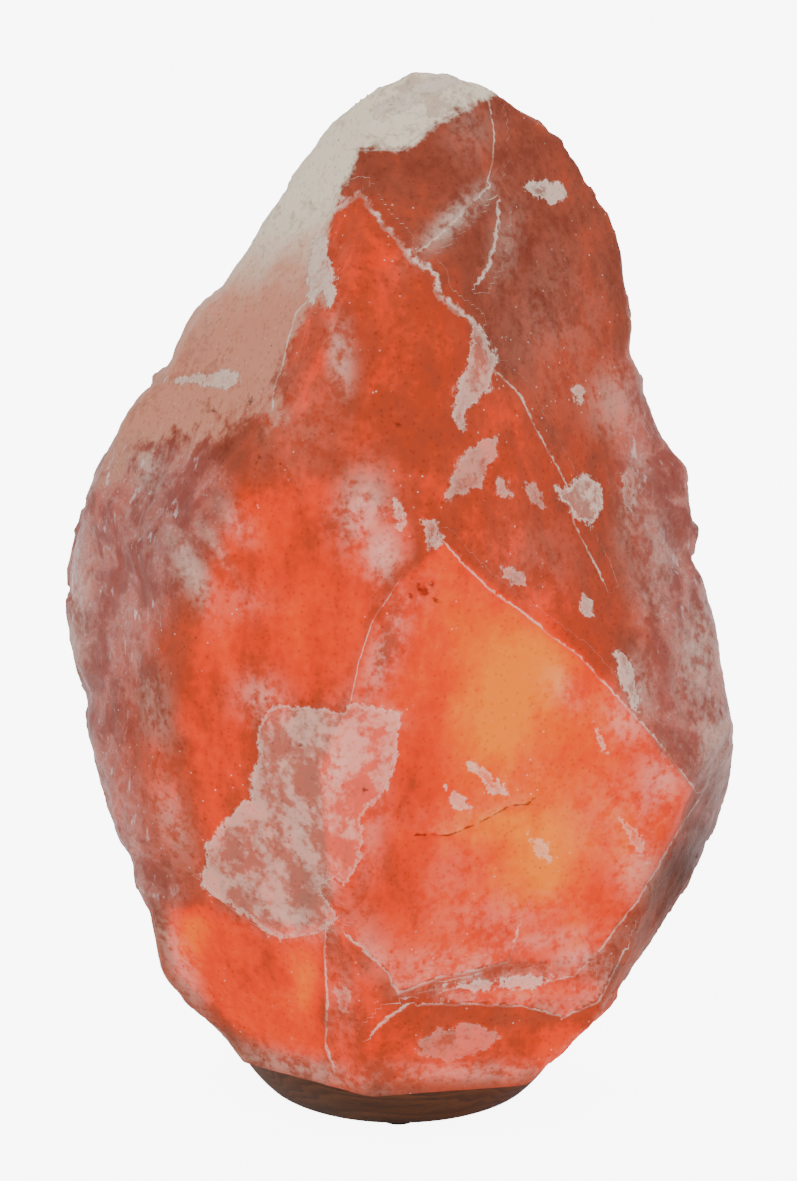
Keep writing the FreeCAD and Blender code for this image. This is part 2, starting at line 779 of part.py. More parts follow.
def tube(inner, outer, bottom, top):
    height = top - bottom
    wall = Part.makeCylinder(outer, height, Vector(0, 0, bottom))
    return wall.cut(Part.makeCylinder(inner, height, Vector(0, 0, bottom)))


def make_screw_shell():
    """The socket's threaded sleeve. Its ridge runs halfway between the turns of the cap's."""
    major, minor = size("shellMajor"), size("shellMinor")
    bottom = size("carrierTop")
    flange_top = bottom + size("shellFlangeThickness")
    sleeve = tube(major, major + size("shellWall"), bottom, size("shellTop"))
    flange = tube(major, size("shellFlange"), bottom, flange_top)
    ridge = helical_ridge(
        major + RIDGE_BITE, minor, size("ridgeRootWidth"), size("ridgeCrestWidth"),
        size("ridgeBottom") - size("threadPitch") / 2, size("threadTurns"),
    )
    shell = sleeve.fuse([flange, ridge]).removeSplitter()
    rivet_hole = Part.makeCylinder(
        size("rivetRadius + fitGap"), flange_top - bottom, Vector(size("flangeRivetReach"), 0, bottom)
    )
    return shaped("screw_shell", shell.cut(rivet_hole))


def make_centre_contact():
    body = new_body("centre_contact")
    foot_end = "-contactReach / 3"
    outline = [
        ("-contactReach", "carrierTop"),
        (foot_end, "carrierTop"),
        ("0", "contactTop - contactThickness"),
        ("contactReach / 2", "contactTop - contactThickness"),
        ("contactReach / 2", "contactTop"),
        ("-contactThickness", "contactTop"),
        (foot_end + " - contactThickness", "carrierTop + contactThickness"),
        ("-contactReach", "carrierTop + contactThickness"),
    ]
    padded(body, "ContactStrip", outline, "contactWidth")
    doc.recompute()
    hole = [
        ("0", "carrierTop"),
        ("rivetRadius + fitGap", "carrierTop"),
        ("rivetRadius + fitGap", "carrierTop + contactThickness"),
        ("0", "carrierTop + contactThickness"),
    ]
    turned(body, "ContactRivetHole", hole, circle="-footRivetReach", cutting=True)
    return body


def make_terminal_blocks():
    blocks = []
    sides = (
        ("Left", "-leftBlockReach", "-footRivetReach"),
        ("Right", "rightBlockReach", "flangeRivetReach"),
    )
    for name, middle, rivet in sides:
        block = box(
            name + "Block", "blockLength", "blockWidth", "blockWidth",
            middle + " - blockLength / 2", "-blockWidth / 2", "carrierBottom - blockWidth",
        )
        screw_hole = cylinder(
            name + "BlockScrewHole", "terminalScrewRadius + fitGap", "terminalScrewLength + fitGap",
            middle, "0", "carrierBottom - blockWidth",
        )
        rivet_hole = cylinder(
            name + "BlockRivetHole", "rivetRadius + fitGap", "blockWidth / 4",
            rivet, "0", "carrierBottom - blockWidth / 4",
        )
        holes = fused(name + "BlockHoles", [screw_hole, rivet_hole])
        blocks.append(cut(name + "TerminalBlock", block, holes))
    return grouped("terminal_blocks", blocks)


def make_terminal_screws():
    screws = []
    seat = "carrierBottom - blockWidth"
    for name, middle in (("Left", "-leftBlockReach"), ("Right", "rightBlockReach")):
        shank = cylinder(
            name + "ScrewShank", "terminalScrewRadius", "terminalScrewLength", middle, "0", seat
        )
        head = cylinder(
            name + "ScrewHead", "terminalHeadRadius", "terminalHeadHeight",
            middle, "0", seat + " - terminalHeadHeight",
        )
        slot = box(
            name + "ScrewSlot", "2 * terminalHeadRadius", "terminalHeadHeight / 3",
            "terminalHeadHeight / 2", middle + " - terminalHeadRadius", "-terminalHeadHeight / 6",
            seat + " - terminalHeadHeight",
        )
        screws.append(cut(name + "TerminalScrew", fused(name + "ScrewBlank", [shank, head]), slot))
    return grouped("terminal_screws", screws)


def make_rivets():
    """Two rivets: through the centre contact's foot and through the screw shell's flange."""
    rivets = []
    places = (
        ("Foot", "-footRivetReach", "contactThickness"),
        ("Flange", "flangeRivetReach", "shellFlangeThickness"),
    )
    for name, reach, sheet_thickness in places:
        bottom = "carrierBottom - blockWidth / 4"
        seat = "carrierTop + %s" % sheet_thickness
        shank = cylinder(name + "RivetShank", "rivetRadius", "%s - (%s)" % (seat, bottom), reach, "0", bottom)
        head = cylinder(name + "RivetHead", "rivetHeadRadius", "rivetHeadHeight", reach, "0", seat)
        rivets.append(fused(name + "Rivet", [shank, head]))
    return grouped("contact_rivets", rivets)


# --- the spring clips ----------------------------------------------------------------------


def make_bracket():
    """A strap round the housing with a pair of drilled ears for each clip's pin."""
    ring = cut(
        "StrapRing",
        cylinder("StrapOuter", "strapRadius", "bracketHeight", z="bracketBottom"),
        cylinder("StrapInner", "strapRadius - bracketThickness", "bracketHeight", z="bracketBottom"),
    )
    ears = []
    ear_near = "clipWidth / 2 + clipSideGap"
    ear_root = "sqrt((housingRadius + fitGap) ^ 2 - (%s) ^ 2)" % ear_near
    ear_length = "pivotReach + eyeRadius - fitGap - %s" % ear_root
    for name, x in (("Right", ear_root), ("Left", "-pivotReach - eyeRadius + fitGap")):
        for row, y in (("Back", ear_near), ("Front", "-(%s) - earThickness" % ear_near)):
            ears.append(box(
                name + row + "Ear", ear_length, "earThickness", "bracketHeight",
                x, y, "bracketBottom",
            ))
    span = "2 * (%s + 2 * earThickness)" % ear_near
    holes = [
        along_y(name + "EarHole", "pinRadius + pinGap", span, reach, "pivotLevel")
        for name, reach in (("Right", "pivotReach"), ("Left", "-pivotReach"))
    ]
    strap = fused("StrapWithEars", [ring] + ears)
    return cut("clip_bracket", strap, fused("EarHoles", holes))


def make_clip_pins():
    length = "clipWidth + 2 * clipSideGap + 2 * earThickness"
    pins = [
        along_y(name + "ClipPin", "pinRadius", length, reach, "pivotLevel")
        for name, reach in (("Right", "pivotReach"), ("Left", "-pivotReach"))
    ]
    return grouped("clip_pins", pins)


def make_clip(label, side):
    """A leaf of spring steel that hangs from a rolled eye and bows out against the base's hole."""

    def out(expression):
        return "%s(%s)" % (side, expression)

    wide = "clipReach"
    low = "baseTop - clipBearing"
    end = low + " - clipTail"
    top_outer = "pivotReach + eyeRadius * 0.75"
    body = new_body(label)
    outline = [
        (out(top_outer), "pivotLevel"),
        (out(wide), low + " + clipTail / 2"),
        (out(wide), low),
        (out(wide + " - tailTurn"), end),
        (out(wide + " - tailTurn - clipThickness"), end),
        (out(wide + " - clipThickness"), low),
        (out(wide + " - clipThickness"), low + " + clipTail / 2"),
        (out(top_outer + " - clipThickness"), "pivotLevel"),
    ]
    padded(body, "Leaf", outline, "clipWidth")
    doc.recompute()
    for name, radius, kind in (("Eye", "eyeRadius", "Pad"), ("EyeHole", "pinRadius + pinGap", "Pocket")):
        sketch = attached_sketch(body, name + "Sketch", "XZ_Plane")
        middle = Vector(size(out("pivotReach")), size("pivotLevel"), 0)
        sketch.addGeometry(Part.Circle(middle, Vector(0, 0, 1), size(radius)))
        hold_point(sketch, 0, 3, out("pivotReach"), "pivotLevel")
        constraint = sketch.addConstraint(Sketcher.Constraint("Radius", 0, size(radius)))
        sketch.setExpression("Constraints[%d]" % constraint, spelled(radius))
        feature = body.newObject("PartDesign::" + kind, name)
        feature.Profile = sketch
        feature.SideType = "Symmetric"
        bind(feature, Length="clipWidth")
    return body


# --- the bulb ------------------------------------------------------------------------------


def make_bulb_cap():
    """The bulb's threaded cap with the rim that grips the glass."""
    root, bottom, top = size("capRoot"), size("capBottom"), size("capTop")
    skirt_bottom = top - size("capSkirtHeight")
    inner = root - size("capWall")
    sleeve = tube(inner, root, bottom, top)
    skirt = Part.makeCone(root, size("capSkirtRadius"), top - skirt_bottom, Vector(0, 0, skirt_bottom))
    skirt = skirt.cut(Part.makeCylinder(inner, top - skirt_bottom, Vector(0, 0, skirt_bottom)))
    ridge = helical_ridge(
        root - RIDGE_BITE, size("capCrest"), size("ridgeRootWidth"), size("ridgeCrestWidth"),
        size("ridgeBottom"), size("threadTurns"),
    )
    return shaped("bulb_cap", sleeve.fuse([skirt, ridge]).removeSplitter())


def make_bulb_insulator():
    outline = [
        ("0", "insulatorBottom"),
        ("tipRadius + capWall", "insulatorBottom"),
        ("insulatorTop", "capBottom"),
        ("0", "capBottom"),
    ]
    return turned_piece("bulb_insulator", outline)


def make_bulb_contact():
    outline = [
        ("0", "bulbTip"),
        ("tipRadius * 0.7", "bulbTip"),
        ("tipRadius", "bulbTip + tipHeight / 2"),
        ("tipRadius", "insulatorBottom"),
        ("0", "insulatorBottom"),
    ]
    return turned_piece("bulb_contact", outline)


def glass_blank(name, inset):
    """The glass's outside, or its inside where inset is the wall."""
    neck = "glassNeckRadius - %s" % inset
    ball = "glassRadius - %s" % inset
    shoulder = "sqrt((%s) ^ 2 - glassShoulder ^ 2)" % ball
    neck_bottom = "capTop - glassNeckDepth"
    return fused(name, [
        cylinder(name + "Neck", neck, "glassNeckDepth", z=neck_bottom),
        cone(name + "Cone", neck, shoulder, "bulbMiddle - glassShoulder - capTop", "capTop"),
        sphere(name + "Ball", ball, "bulbMiddle"),
    ])


def make_bulb_glass():
    return cut("bulb_glass", glass_blank("GlassOutside", "0"), glass_blank("GlassInside", "glassWall"))


def make_bulb_stem():
    neck = "glassNeckRadius - glassWall"
    outline = [
        ("0", "stemBottom"),
        (neck + " - fitGap", "stemBottom"),
        (neck + " - fitGap", "stemBottom + stemFlareThickness"),
        ("stemFootRadius", "stemBottom + 2 * stemFlareThickness"),
        ("stemTopRadius", "stemTop"),
        ("0", "stemTop"),
    ]
    return turned_piece("bulb_stem", outline)


def wire(points, radius):
    """A thin round wire through the points, with its corners rounded."""
    parts = []
    for start, end in zip(points, points[1:]):
        parts.append(Part.makeCylinder(radius, (end - start).Length, start, end - start))
    for corner in points[1:-1]:
        parts.append(Part.makeSphere(radius, corner))
    return parts[0].fuse(parts[1:]).removeSplitter() if len(parts) > 1 else parts[0]


def filament_point(share):
    """A point of the filament; share runs from -1 at its left end to +1 at its right."""
    level = size("stemTop + filamentRise") + size("filamentSag") * (1 - share * share)
    return Vector(share * size("filamentSpan"), 0, level)


def make_filament():
    shares = (-1, -0.5, 0, 0.5, 1)
    return shaped("filament", wire([filament_point(share) for share in shares], size("filamentRadius")))


def stem_wires(label, radius, reach, share):
    """A pair of wires that rise from the stem's top and lean out to the filament."""
    wires = []
    for side in (-1, 1):
        foot = Vector(side * reach, 0, size("stemTop"))
        bend = foot + Vector(0, 0, 2 * radius)
        end = filament_point(side * share)
        end.z -= size("filamentRadius") + radius
        wires.append(wire([foot, bend, end], radius))
    return shaped(label, Part.makeCompound(wires))


def make_leads():
    return stem_wires("bulb_leads", size("leadRadius"), size("stemTopRadius - leadRadius"), 1)


def make_supports():
    return stem_wires("filament_supports", size("supportRadius"), size("stemTopRadius / 4"), 0.5)


# --- making and writing --------------------------------------------------------------------

PIECES = [
    make_crystal(),
    make_base(),
    make_feet(),
    make_base_screws(),
    make_washers(),
    make_plugs(),
    make_grommet(),
    make_housing(),
    make_cover(),
    make_cover_screws(),
    make_carrier(),
    make_screw_shell(),
    make_centre_contact(),
    make_terminal_blocks(),
    make_terminal_screws(),
    make_rivets(),
    make_bracket(),
    make_clip_pins(),
    make_clip("clip_left", "-"),
    make_clip("clip_right", ""),
    make_bulb_cap(),
    make_bulb_insulator(),
    make_bulb_contact(),
    make_bulb_glass(),
    make_bulb_stem(),
    make_leads(),
    make_supports(),
    make_filament(),
]
doc.recompute()

failed = [obj.Name for obj in doc.Objects if "Invalid" in obj.State or "Error" in obj.State]
if failed:
    raise RuntimeError("these objects failed: " + ", ".join(failed))
for piece in PIECES:
    if piece.Shape.isNull() or not piece.Shape.isValid() or not piece.Shape.Solids:
        raise RuntimeError("no valid solid in " + piece.Label)

os.makedirs("parts", exist_ok=True)
for piece in PIECES:
    piece.Shape.exportStep(os.path.join("parts", piece.Label + ".step"))
    box_of = piece.Shape.BoundBox
    print("%-18s %d solids  %9.1f mm3  x %.1f..%.1f  y %.1f..%.1f  z %.1f..%.1f" % (
        piece.Label, len(piece.Shape.Solids), piece.Shape.Volume,
        box_of.XMin, box_of.XMax, box_of.YMin, box_of.YMax, box_of.ZMin, box_of.ZMax,
    ))
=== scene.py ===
import functools
import itertools
import math

import bpy
import numpy as np
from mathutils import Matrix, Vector


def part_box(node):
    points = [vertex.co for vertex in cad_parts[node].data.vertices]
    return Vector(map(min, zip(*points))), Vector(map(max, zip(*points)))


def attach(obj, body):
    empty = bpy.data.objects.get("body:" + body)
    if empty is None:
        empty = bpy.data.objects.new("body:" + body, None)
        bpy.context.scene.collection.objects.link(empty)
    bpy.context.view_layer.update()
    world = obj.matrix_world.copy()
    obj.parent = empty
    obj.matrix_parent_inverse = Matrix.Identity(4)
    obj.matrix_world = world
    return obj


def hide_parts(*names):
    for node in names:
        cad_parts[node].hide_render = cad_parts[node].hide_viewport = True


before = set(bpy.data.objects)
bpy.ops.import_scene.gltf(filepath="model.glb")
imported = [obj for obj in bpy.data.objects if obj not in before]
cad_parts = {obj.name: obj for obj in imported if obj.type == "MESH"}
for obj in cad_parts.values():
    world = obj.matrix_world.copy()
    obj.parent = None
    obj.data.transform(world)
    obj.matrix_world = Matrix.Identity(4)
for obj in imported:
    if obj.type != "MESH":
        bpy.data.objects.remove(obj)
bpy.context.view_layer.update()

# A salt crystal lamp, lit from inside. The boulder is a skin of hewn faces worked out with numpy;
# every other piece is the CAD node with a finish of its own. Metres, +Z up, the front to -Y.

milli = 0.001
farAway = 1e9

# Where the photograph was taken from. Its frame is 797 by 1181 pixels.
shot = {
    "width": 797,
    "height": 1181,
    "distance": 1.150,      # camera to the point it looks at
    "elevation": 17.0,      # degrees above the horizon
    "targetHeight": 0.149,  # the point it looks at, on the lamp's axis
    "focal": 4021.0,        # pixels
}
millimetresPerPixel = 1000 * shot["distance"] / shot["focal"]


def shotAxes():
    # the camera's place and its forward and upward directions; its right is +X
    tilt = math.radians(shot["elevation"])
    forward = np.array([0.0, math.cos(tilt), -math.sin(tilt)])
    upward = np.array([0.0, math.sin(tilt), math.cos(tilt)])
    eye = np.array([0.0, 0.0, shot["targetHeight"]]) - forward * shot["distance"]
    return eye, forward, upward


def pictureOf(points):
    # pixel = middle of the frame + focal * (sideways, -upwards) / depth
    eye, forward, upward = shotAxes()
    way = points - eye
    depth = way @ forward
    across = shot["width"] / 2 + shot["focal"] * way[:, 0] / depth
    down = shot["height"] / 2 - shot["focal"] * (way @ upward) / depth
    return np.stack([across, down], 1)


# Sums over whole arrays of points.

def smooth(low, high, value):
    t = np.clip((value - low) / (high - low), 0, 1)
    return t * t * (3 - 2 * t)


def cellHash(cells, seed):
    # one number from 0 to 255 for each whole-numbered cell
    order = np.random.RandomState(seed).permutation(256)
    inner = order[cells[:, 0] & 255]
    inner = order[(inner + cells[:, 1]) & 255]
    return order[(inner + cells[:, 2]) & 255]


def waves(points, size, seed):
    # gradient noise: each corner of a cell has a slope, blended with 6t^5 - 15t^4 + 10t^3
    slopes = np.random.RandomState(seed + 1000).normal(size=(256, 3))
    slopes /= np.linalg.norm(slopes, axis=1)[:, None]
    scaled = points / size
    cells = np.floor(scaled).astype(int)
    t = scaled - cells
    fade = t * t * t * (t * (t * 6 - 15) + 10)
    total = np.zeros(len(points))
    for corner in itertools.product((0, 1), repeat=3):
        corner = np.array(corner)
        slope = slopes[cellHash(cells + corner, seed)]
        weight = np.prod(np.where(corner, fade, 1 - fade), axis=1)
        total += weight * ((t - corner) * slope).sum(1)
    return total * 1.6


def roughness(points, size, octaves, seed):
    # waves of half the size and half the height added up
    total = np.zeros(len(points))
    for octave in range(octaves):
        total += waves(points, size / 2 ** octave, seed + octave) / 2 ** octave
    return total


def chips(points, size, seed):
    # flat flakes: height = slope of the nearest flake . way from its middle, plus its own step
    source = np.random.RandomState(seed + 2000)
    middles = source.uniform(0.1, 0.9, size=(256, 3))
    slopes = source.normal(size=(256, 3))
    steps = source.uniform(-0.5, 0.5, size=256)
    scaled = points / size
    cells = np.floor(scaled).astype(int)
    nearest = np.full(len(points), farAway)
    height = np.zeros(len(points))
    for offset in itertools.product((-1, 0, 1), repeat=3):
        cell = cells + np.array(offset)
        kind = cellHash(cell, seed)
        way = scaled - (cell + middles[kind])
        away = (way ** 2).sum(1)
        closer = away < nearest
        nearest = np.where(closer, away, nearest)
        height = np.where(closer, (way * slopes[kind]).sum(1) + steps[kind], height)
    return height


def insideBy(places, outline):
    # millimetres from the outline drawn in pixels, positive inside it
    corners = np.array(outline, float)
    following = np.roll(corners, -1, axis=0)
    away = np.full(len(places), farAway)
    crossings = np.zeros(len(places), int)
    for start, end in zip(corners, following):
        edge = end - start
        along = np.clip(((places - start) @ edge) / (edge @ edge), 0, 1)
        gap = places - (start + along[:, None] * edge)
        away = np.minimum(away, np.hypot(gap[:, 0], gap[:, 1]))
        spans = (start[1] > places[:, 1]) != (end[1] > places[:, 1])
        rise = end[1] - start[1] if end[1] != start[1] else 1e-9
        meets = start[0] + (places[:, 1] - start[1]) * edge[0] / rise
        crossings += spans & (places[:, 0] < meets)
    return np.where(crossings % 2 == 1, away, -away) * millimetresPerPixel


def lineAway(places, line):
    # millimetres from a line drawn in pixels, and the same with a sign for the line's two sides
    corners = np.array(line, float)
    away = np.full(len(places), farAway)
    signed = np.full(len(places), farAway)
    for start, end in zip(corners, corners[1:]):
        edge = end - start
        along = np.clip(((places - start) @ edge) / (edge @ edge), 0, 1)
        gap = places - (start + along[:, None] * edge)
        distance = np.hypot(gap[:, 0], gap[:, 1])
        side = np.sign(edge[0] * gap[:, 1] - edge[1] * gap[:, 0])
        closer = distance < away
        away = np.where(closer, distance, away)
        signed = np.where(closer, distance * side, signed)
    return away * millimetresPerPixel, signed * millimetresPerPixel


def blot(places, x, y, wide, high, turn=0.0):
    # 1 in the middle of a soft oval, falling off as exp(-d^2); sizes in pixels, turn in degrees
    angle = math.radians(turn)
    across, down = places[:, 0] - x, places[:, 1] - y
    along = (across * math.cos(angle) + down * math.sin(angle)) / wide
    beside = (-across * math.sin(angle) + down * math.cos(angle)) / high
    return np.exp(-(along ** 2 + beside ** 2))


# Meshes.

def gridFaces(rows, columns):
    # quads between neighbouring rows; the columns close on themselves
    row, column = np.meshgrid(np.arange(rows - 1), np.arange(columns), indexing="ij")
    following = (column + 1) % columns
    quads = np.stack([
        row * columns + column, (row + 1) * columns + column,
        (row + 1) * columns + following, row * columns + following,
    ], -1)
    return quads.reshape(-1, 4)


def meshFrom(name, points, faces, attributes=None):
    mesh = bpy.data.meshes.new(name)
    mesh.from_pydata(points.tolist(), [], [list(face) for face in faces])
    for label, values in (attributes or {}).items():
        layer = mesh.attributes.new(label, "FLOAT", "POINT")
        layer.data.foreach_set("value", values.astype(np.float32))
    mesh.polygons.foreach_set("use_smooth", np.ones(len(mesh.polygons), bool))
    mesh.update()
    thing = bpy.data.objects.new(name, mesh)
    bpy.context.scene.collection.objects.link(thing)
    return thing


# The salt boulder, in metres.

salt = {
    "middle": 0.150,               # height of the point that the skin is measured from
    "columns": 348,
    "outerRows": 250,
    "coarseRows": 160,             # of a first pass, from which the rows are spaced
    "lengthShare": 0.75,           # how far their spacing follows the length, not the angle
    "frontCrowding": 0.34,         # how much denser the columns are at the front
    "edgeSoftness": 0.0008,        # rounding of the hewn edges at the front
    "sideSoftness": 0.0013,        # and at the sides and back
    "leastBend": 0.12,             # sine of the angle from which two faces make an edge
    "undersideRows": 7,
    "boreRows": 12,
    "domeRows": 7,
    "boreRadius": 0.025,
    "boreTop": 0.1395,
    "fadeAboveUnderside": 0.006,
    # relief: size of the pattern, its height at the sides and back, and at the front, whose faces
    # are smoothly cleaved
    "broad": (0.055, 0.0008, 0.0008),
    "flakes": (0.021, 0.00075, 0.00018),
    "chips": (0.008, 0.00032, 0.00014),
    "grain": (0.0075, 0.00045, 0.00022),
    "crumbledEdge": (0.006, 0.0007, 0.0007),
    "frostHeight": 0.0005,
    # the lip beside a ledge, a painted highlight, in millimetres: how it fades, and from where to where
    # it ends
    "lipFade": 5.0,
    "lipEnd": (9.0, 16.0),
}

# Hollows where two hewn faces meet: azimuth and tilt in degrees and millimetres from the middle,
# first of the upper face and then of the lower.
notches = [((89, 9, 76.9), (95, 29, 87.7)), ((-75, -27, 107.0), (-84, -6, 81.8))]

# Dents and bulges of the outline: place in the photograph, radius in pixels, depth in millimetres.
dents = [
    (250, 252, 24, 2.2), (228, 285, 26, 2.6), (166, 365, 30, 3.0), (80, 697, 18, 2.2),
    (124, 862, 18, 2.2), (692, 556, 18, 3.0), (632, 347, 15, 2.6), (560, 150, 52, -2.2),
    (606, 230, 34, -1.6), (684, 468, 16, -2.6), (736, 745, 40, -1.8), (212, 1044, 24, 2.8),
    (395, 72, 14, 1.2),
]

noMark = 9.0  # millimetres, or half widths of a line, that are too far for a mark to show

# Lines in the photograph that more than one thing follows.
lines = {
    "lowLip": [(347, 936), (387, 971), (397, 994), (417, 986), (443, 976), (473, 971), (508, 961),
        (518, 931)],
    "middleLip": [(443, 991), (473, 984), (503, 986), (548, 981), (574, 976), (589, 961)],
    "bottomLip": [(422, 1004), (473, 1004), (523, 1006), (564, 1017), (599, 1001), (624, 951)],
    "crack": [(406, 835), (450, 835), (484, 820), (510, 806), (528, 804), (545, 787)],
    "frostFoot": [(205, 885), (241, 916), (281, 938), (317, 933), (337, 918)],
}

# Ledges: depth and reach in millimetres, whiteness of the lip (a painted highlight), then a line.
# The surface drops on the line's right-hand side as it is followed, and comes back over the reach.
ledges = [
    (1.5, 9.0, 1.0, lines["lowLip"]),
    (0.8, 5.0, 0.8, lines["middleLip"]),
    (1.5, 8.0, 0.9, lines["bottomLip"]),
    (1.0, 10.0, 0.3, [(326, 921), (325, 960), (327, 1005), (326, 1047)]),
    (0.9, 6.0, 0.3, lines["crack"]),
    (0.9, 7.0, 0.0, [(287, 343), (283, 364), (274, 390), (272, 408)]),
    (0.8, 7.0, 0.2, [(325, 237), (309, 234), (311, 297), (296, 312), (287, 343)]),
    (0.7, 6.0, 0.0, [(560, 463), (575, 520), (592, 560), (606, 600)]),
    (0.8, 6.0, 0.8, lines["frostFoot"]),
]

# One face is fuller than the solid's, so that the salt covers the front of the base as in the
# photograph: the solid's azimuth and tilt, then those drawn here with the millimetres.
fullerFace = ((-40, -26), (-33, -13, 81.2))


def directionOf(azimuth, tilt):
    # azimuth from the front towards +X, tilt up from level
    turn, rise = math.radians(azimuth), math.radians(tilt)
    return np.array([math.sin(turn) * math.cos(rise), -math.cos(turn) * math.cos(rise), math.sin(rise)])


def boulderPlanes():
    # the flat faces of the CAD boulder that all of it lies behind: outward normal and distance
    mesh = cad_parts["salt_crystal"].data
    normals = np.zeros(len(mesh.polygons) * 3, np.float32)
    middles = np.zeros(len(mesh.polygons) * 3, np.float32)
    corners = np.zeros(len(mesh.vertices) * 3, np.float32)
    mesh.polygons.foreach_get("normal", normals)
    mesh.polygons.foreach_get("center", middles)
    mesh.vertices.foreach_get("co", corners)
    normals, middles = normals.reshape(-1, 3).astype(float), middles.reshape(-1, 3).astype(float)
    corners = corners.reshape(-1, 3).astype(float)
    _, chosen = np.unique(np.round(normals, 2), axis=0, return_index=True)
    normals, middles = normals[chosen], middles[chosen]
    distances = (normals * middles).sum(1)
    beyond = (corners @ normals.T - distances).max(0)
    flatEnough, downwards = 0.03 * milli, -0.99
    outer = (beyond < flatEnough) & (normals[:, 2] > downwards)
    floor = corners[:, 2].min()
    return normals[outer], distances[outer], floor


def boulderSkin():
    # where rays from the boulder's middle leave it: points, ray directions, the faces' normals
    # and the way to the nearest edge
    normals, distances, floor = boulderPlanes()
    middle = np.array([0, 0, salt["middle"]])
    away = distances - normals @ middle
    fuller = (normals @ directionOf(*fullerFace[0])).argmax()
    normals[fuller], away[fuller] = directionOf(*fullerFace[1][:2]), fullerFace[1][2] * milli
    columns, outerRows = salt["columns"], salt["outerRows"]

    # azimuth = 2 pi w - c sin(2 pi w), so the columns crowd at the front, where w is 0
    turn = 2 * np.pi * (np.arange(columns) / columns - 0.5)
    azimuth = turn - salt["frontCrowding"] * np.sin(turn)
    level = np.stack([np.sin(azimuth), -np.cos(azimuth), 0 * azimuth], 1)

    # where each column meets the sawn underside
    facing = level @ normals.T
    reach = away + normals[:, 2] * (salt["middle"] - floor)
    reach = np.where(facing > 1e-4, reach / np.maximum(facing, 1e-4), farAway).min(1)
    lowest = np.arctan2(floor - salt["middle"], reach)

    # the hollows' faces come after the others
    missed = 9.0  # metres that stand for no hit
    plain = len(normals)
    hollowNormals = np.array([directionOf(*face[:2]) for pair in notches for face in pair])
    hollowAway = np.array([face[2] * milli for pair in notches for face in pair])
    allNormals = np.concatenate([normals, hollowNormals])
    allAway = np.concatenate([away, hollowAway])

    def ray(elevation, soft):
        # r = soft minimum over the faces of distance / (normal . direction), where a hollow
        # counts as the further of its two faces
        direction = level[None] * np.cos(elevation)[..., None]
        direction = direction + np.sin(elevation)[..., None] * np.array([0, 0, 1])
        flat = direction.reshape(-1, 3)
        dots = flat @ allNormals.T
        hits = np.where(dots > 1e-3, allAway / np.maximum(dots, 1e-3), missed)
        pairs = hits[:, plain:].reshape(len(flat), -1, 2)
        cuts = np.concatenate([hits[:, :plain], pairs.max(2)], 1)
        face = cuts.argmin(1)
        hollow = np.maximum(face - plain, 0)
        later = pairs.argmax(2)[np.arange(len(flat)), hollow]
        face = np.where(face < plain, face, plain + 2 * hollow + later)
        least = cuts.min(1)
        softness = soft.reshape(-1, 1)
        shares = np.exp(-(cuts - least[:, None]) / softness)
        reached = least - softness[:, 0] * np.log(shares.sum(1))
        return flat, reached, face

    # rows at even steps along each column's length: first coarse, then spaced again
    coarse, coarseSoftness = salt["coarseRows"], 0.002
    share = np.linspace(0, 1, coarse)[:, None]
    elevation = np.pi / 2 + (lowest[None] - np.pi / 2) * share
    flat, reached, _ = ray(elevation, np.full(elevation.shape, coarseSoftness))
    points = (flat * reached[:, None]).reshape(coarse, columns, 3)
    steps = np.linalg.norm(np.diff(points, axis=0), axis=2)
    length = np.concatenate([np.zeros((1, columns)), np.cumsum(steps, 0)]) / steps.sum(0)
    even = salt["lengthShare"] * length + (1 - salt["lengthShare"]) * share
    wanted = np.linspace(0, 1, outerRows)
    elevation = np.stack([
        np.interp(wanted, even[:, column], elevation[:, column]) for column in range(columns)
    ], 1)
    side = 0.5 - 0.5 * np.cos(azimuth)
    extraSoftness = salt["sideSoftness"] - salt["edgeSoftness"]
    soft = salt["edgeSoftness"] + extraSoftness * smooth(0.25, 0.6, side)
    flat, reached, face = ray(elevation, np.broadcast_to(soft, elevation.shape))
    outer = flat * reached[:, None] + middle

    # millimetres along the surface to the nearest hewn edge
    inset = away - (outer - middle) @ normals.T
    bend = np.clip(allNormals[face] @ normals.T, -1, 1)
    across = np.sqrt(1 - bend ** 2)
    bent = across > salt["leastBend"]
    edge = np.where(bent, inset / np.maximum(across, salt["leastBend"]), missed).min(1) / milli
    return outer, flat, allNormals[face], edge, floor


def ledgeDrop(places):
    # metres taken off beside the ledges: depth * exp(-way past the line / reach), fading at its
    # ends; and the painted highlight on their lips, a white band on the other side of the line
    drop = np.zeros(len(places))
    lipHighlight = np.zeros(len(places))
    endFade = 7.0
    lipFull, lipGone = salt["lipEnd"]
    for depth, reach, white, line in ledges:
        away, signed = lineAway(places, line)
        ends = np.ones(len(places))
        for x, y in (line[0], line[-1]):
            gap = np.hypot(places[:, 0] - x, places[:, 1] - y) * millimetresPerPixel
            ends = ends * smooth(0.0, endFade, gap)
        past = smooth(-0.5, 0.7, signed) * np.exp(-np.maximum(signed, 0) / reach)
        past = past * smooth(reach * 2.2, reach, away)
        drop = np.maximum(drop, depth * milli * past * ends)
        band = smooth(0.4, -0.2, signed) * np.exp(-np.maximum(-signed, 0) / salt["lipFade"])
        band = band * smooth(lipGone, lipFull, away)
        lipHighlight = np.maximum(lipHighlight, white * band * ends)
    return drop, lipHighlight


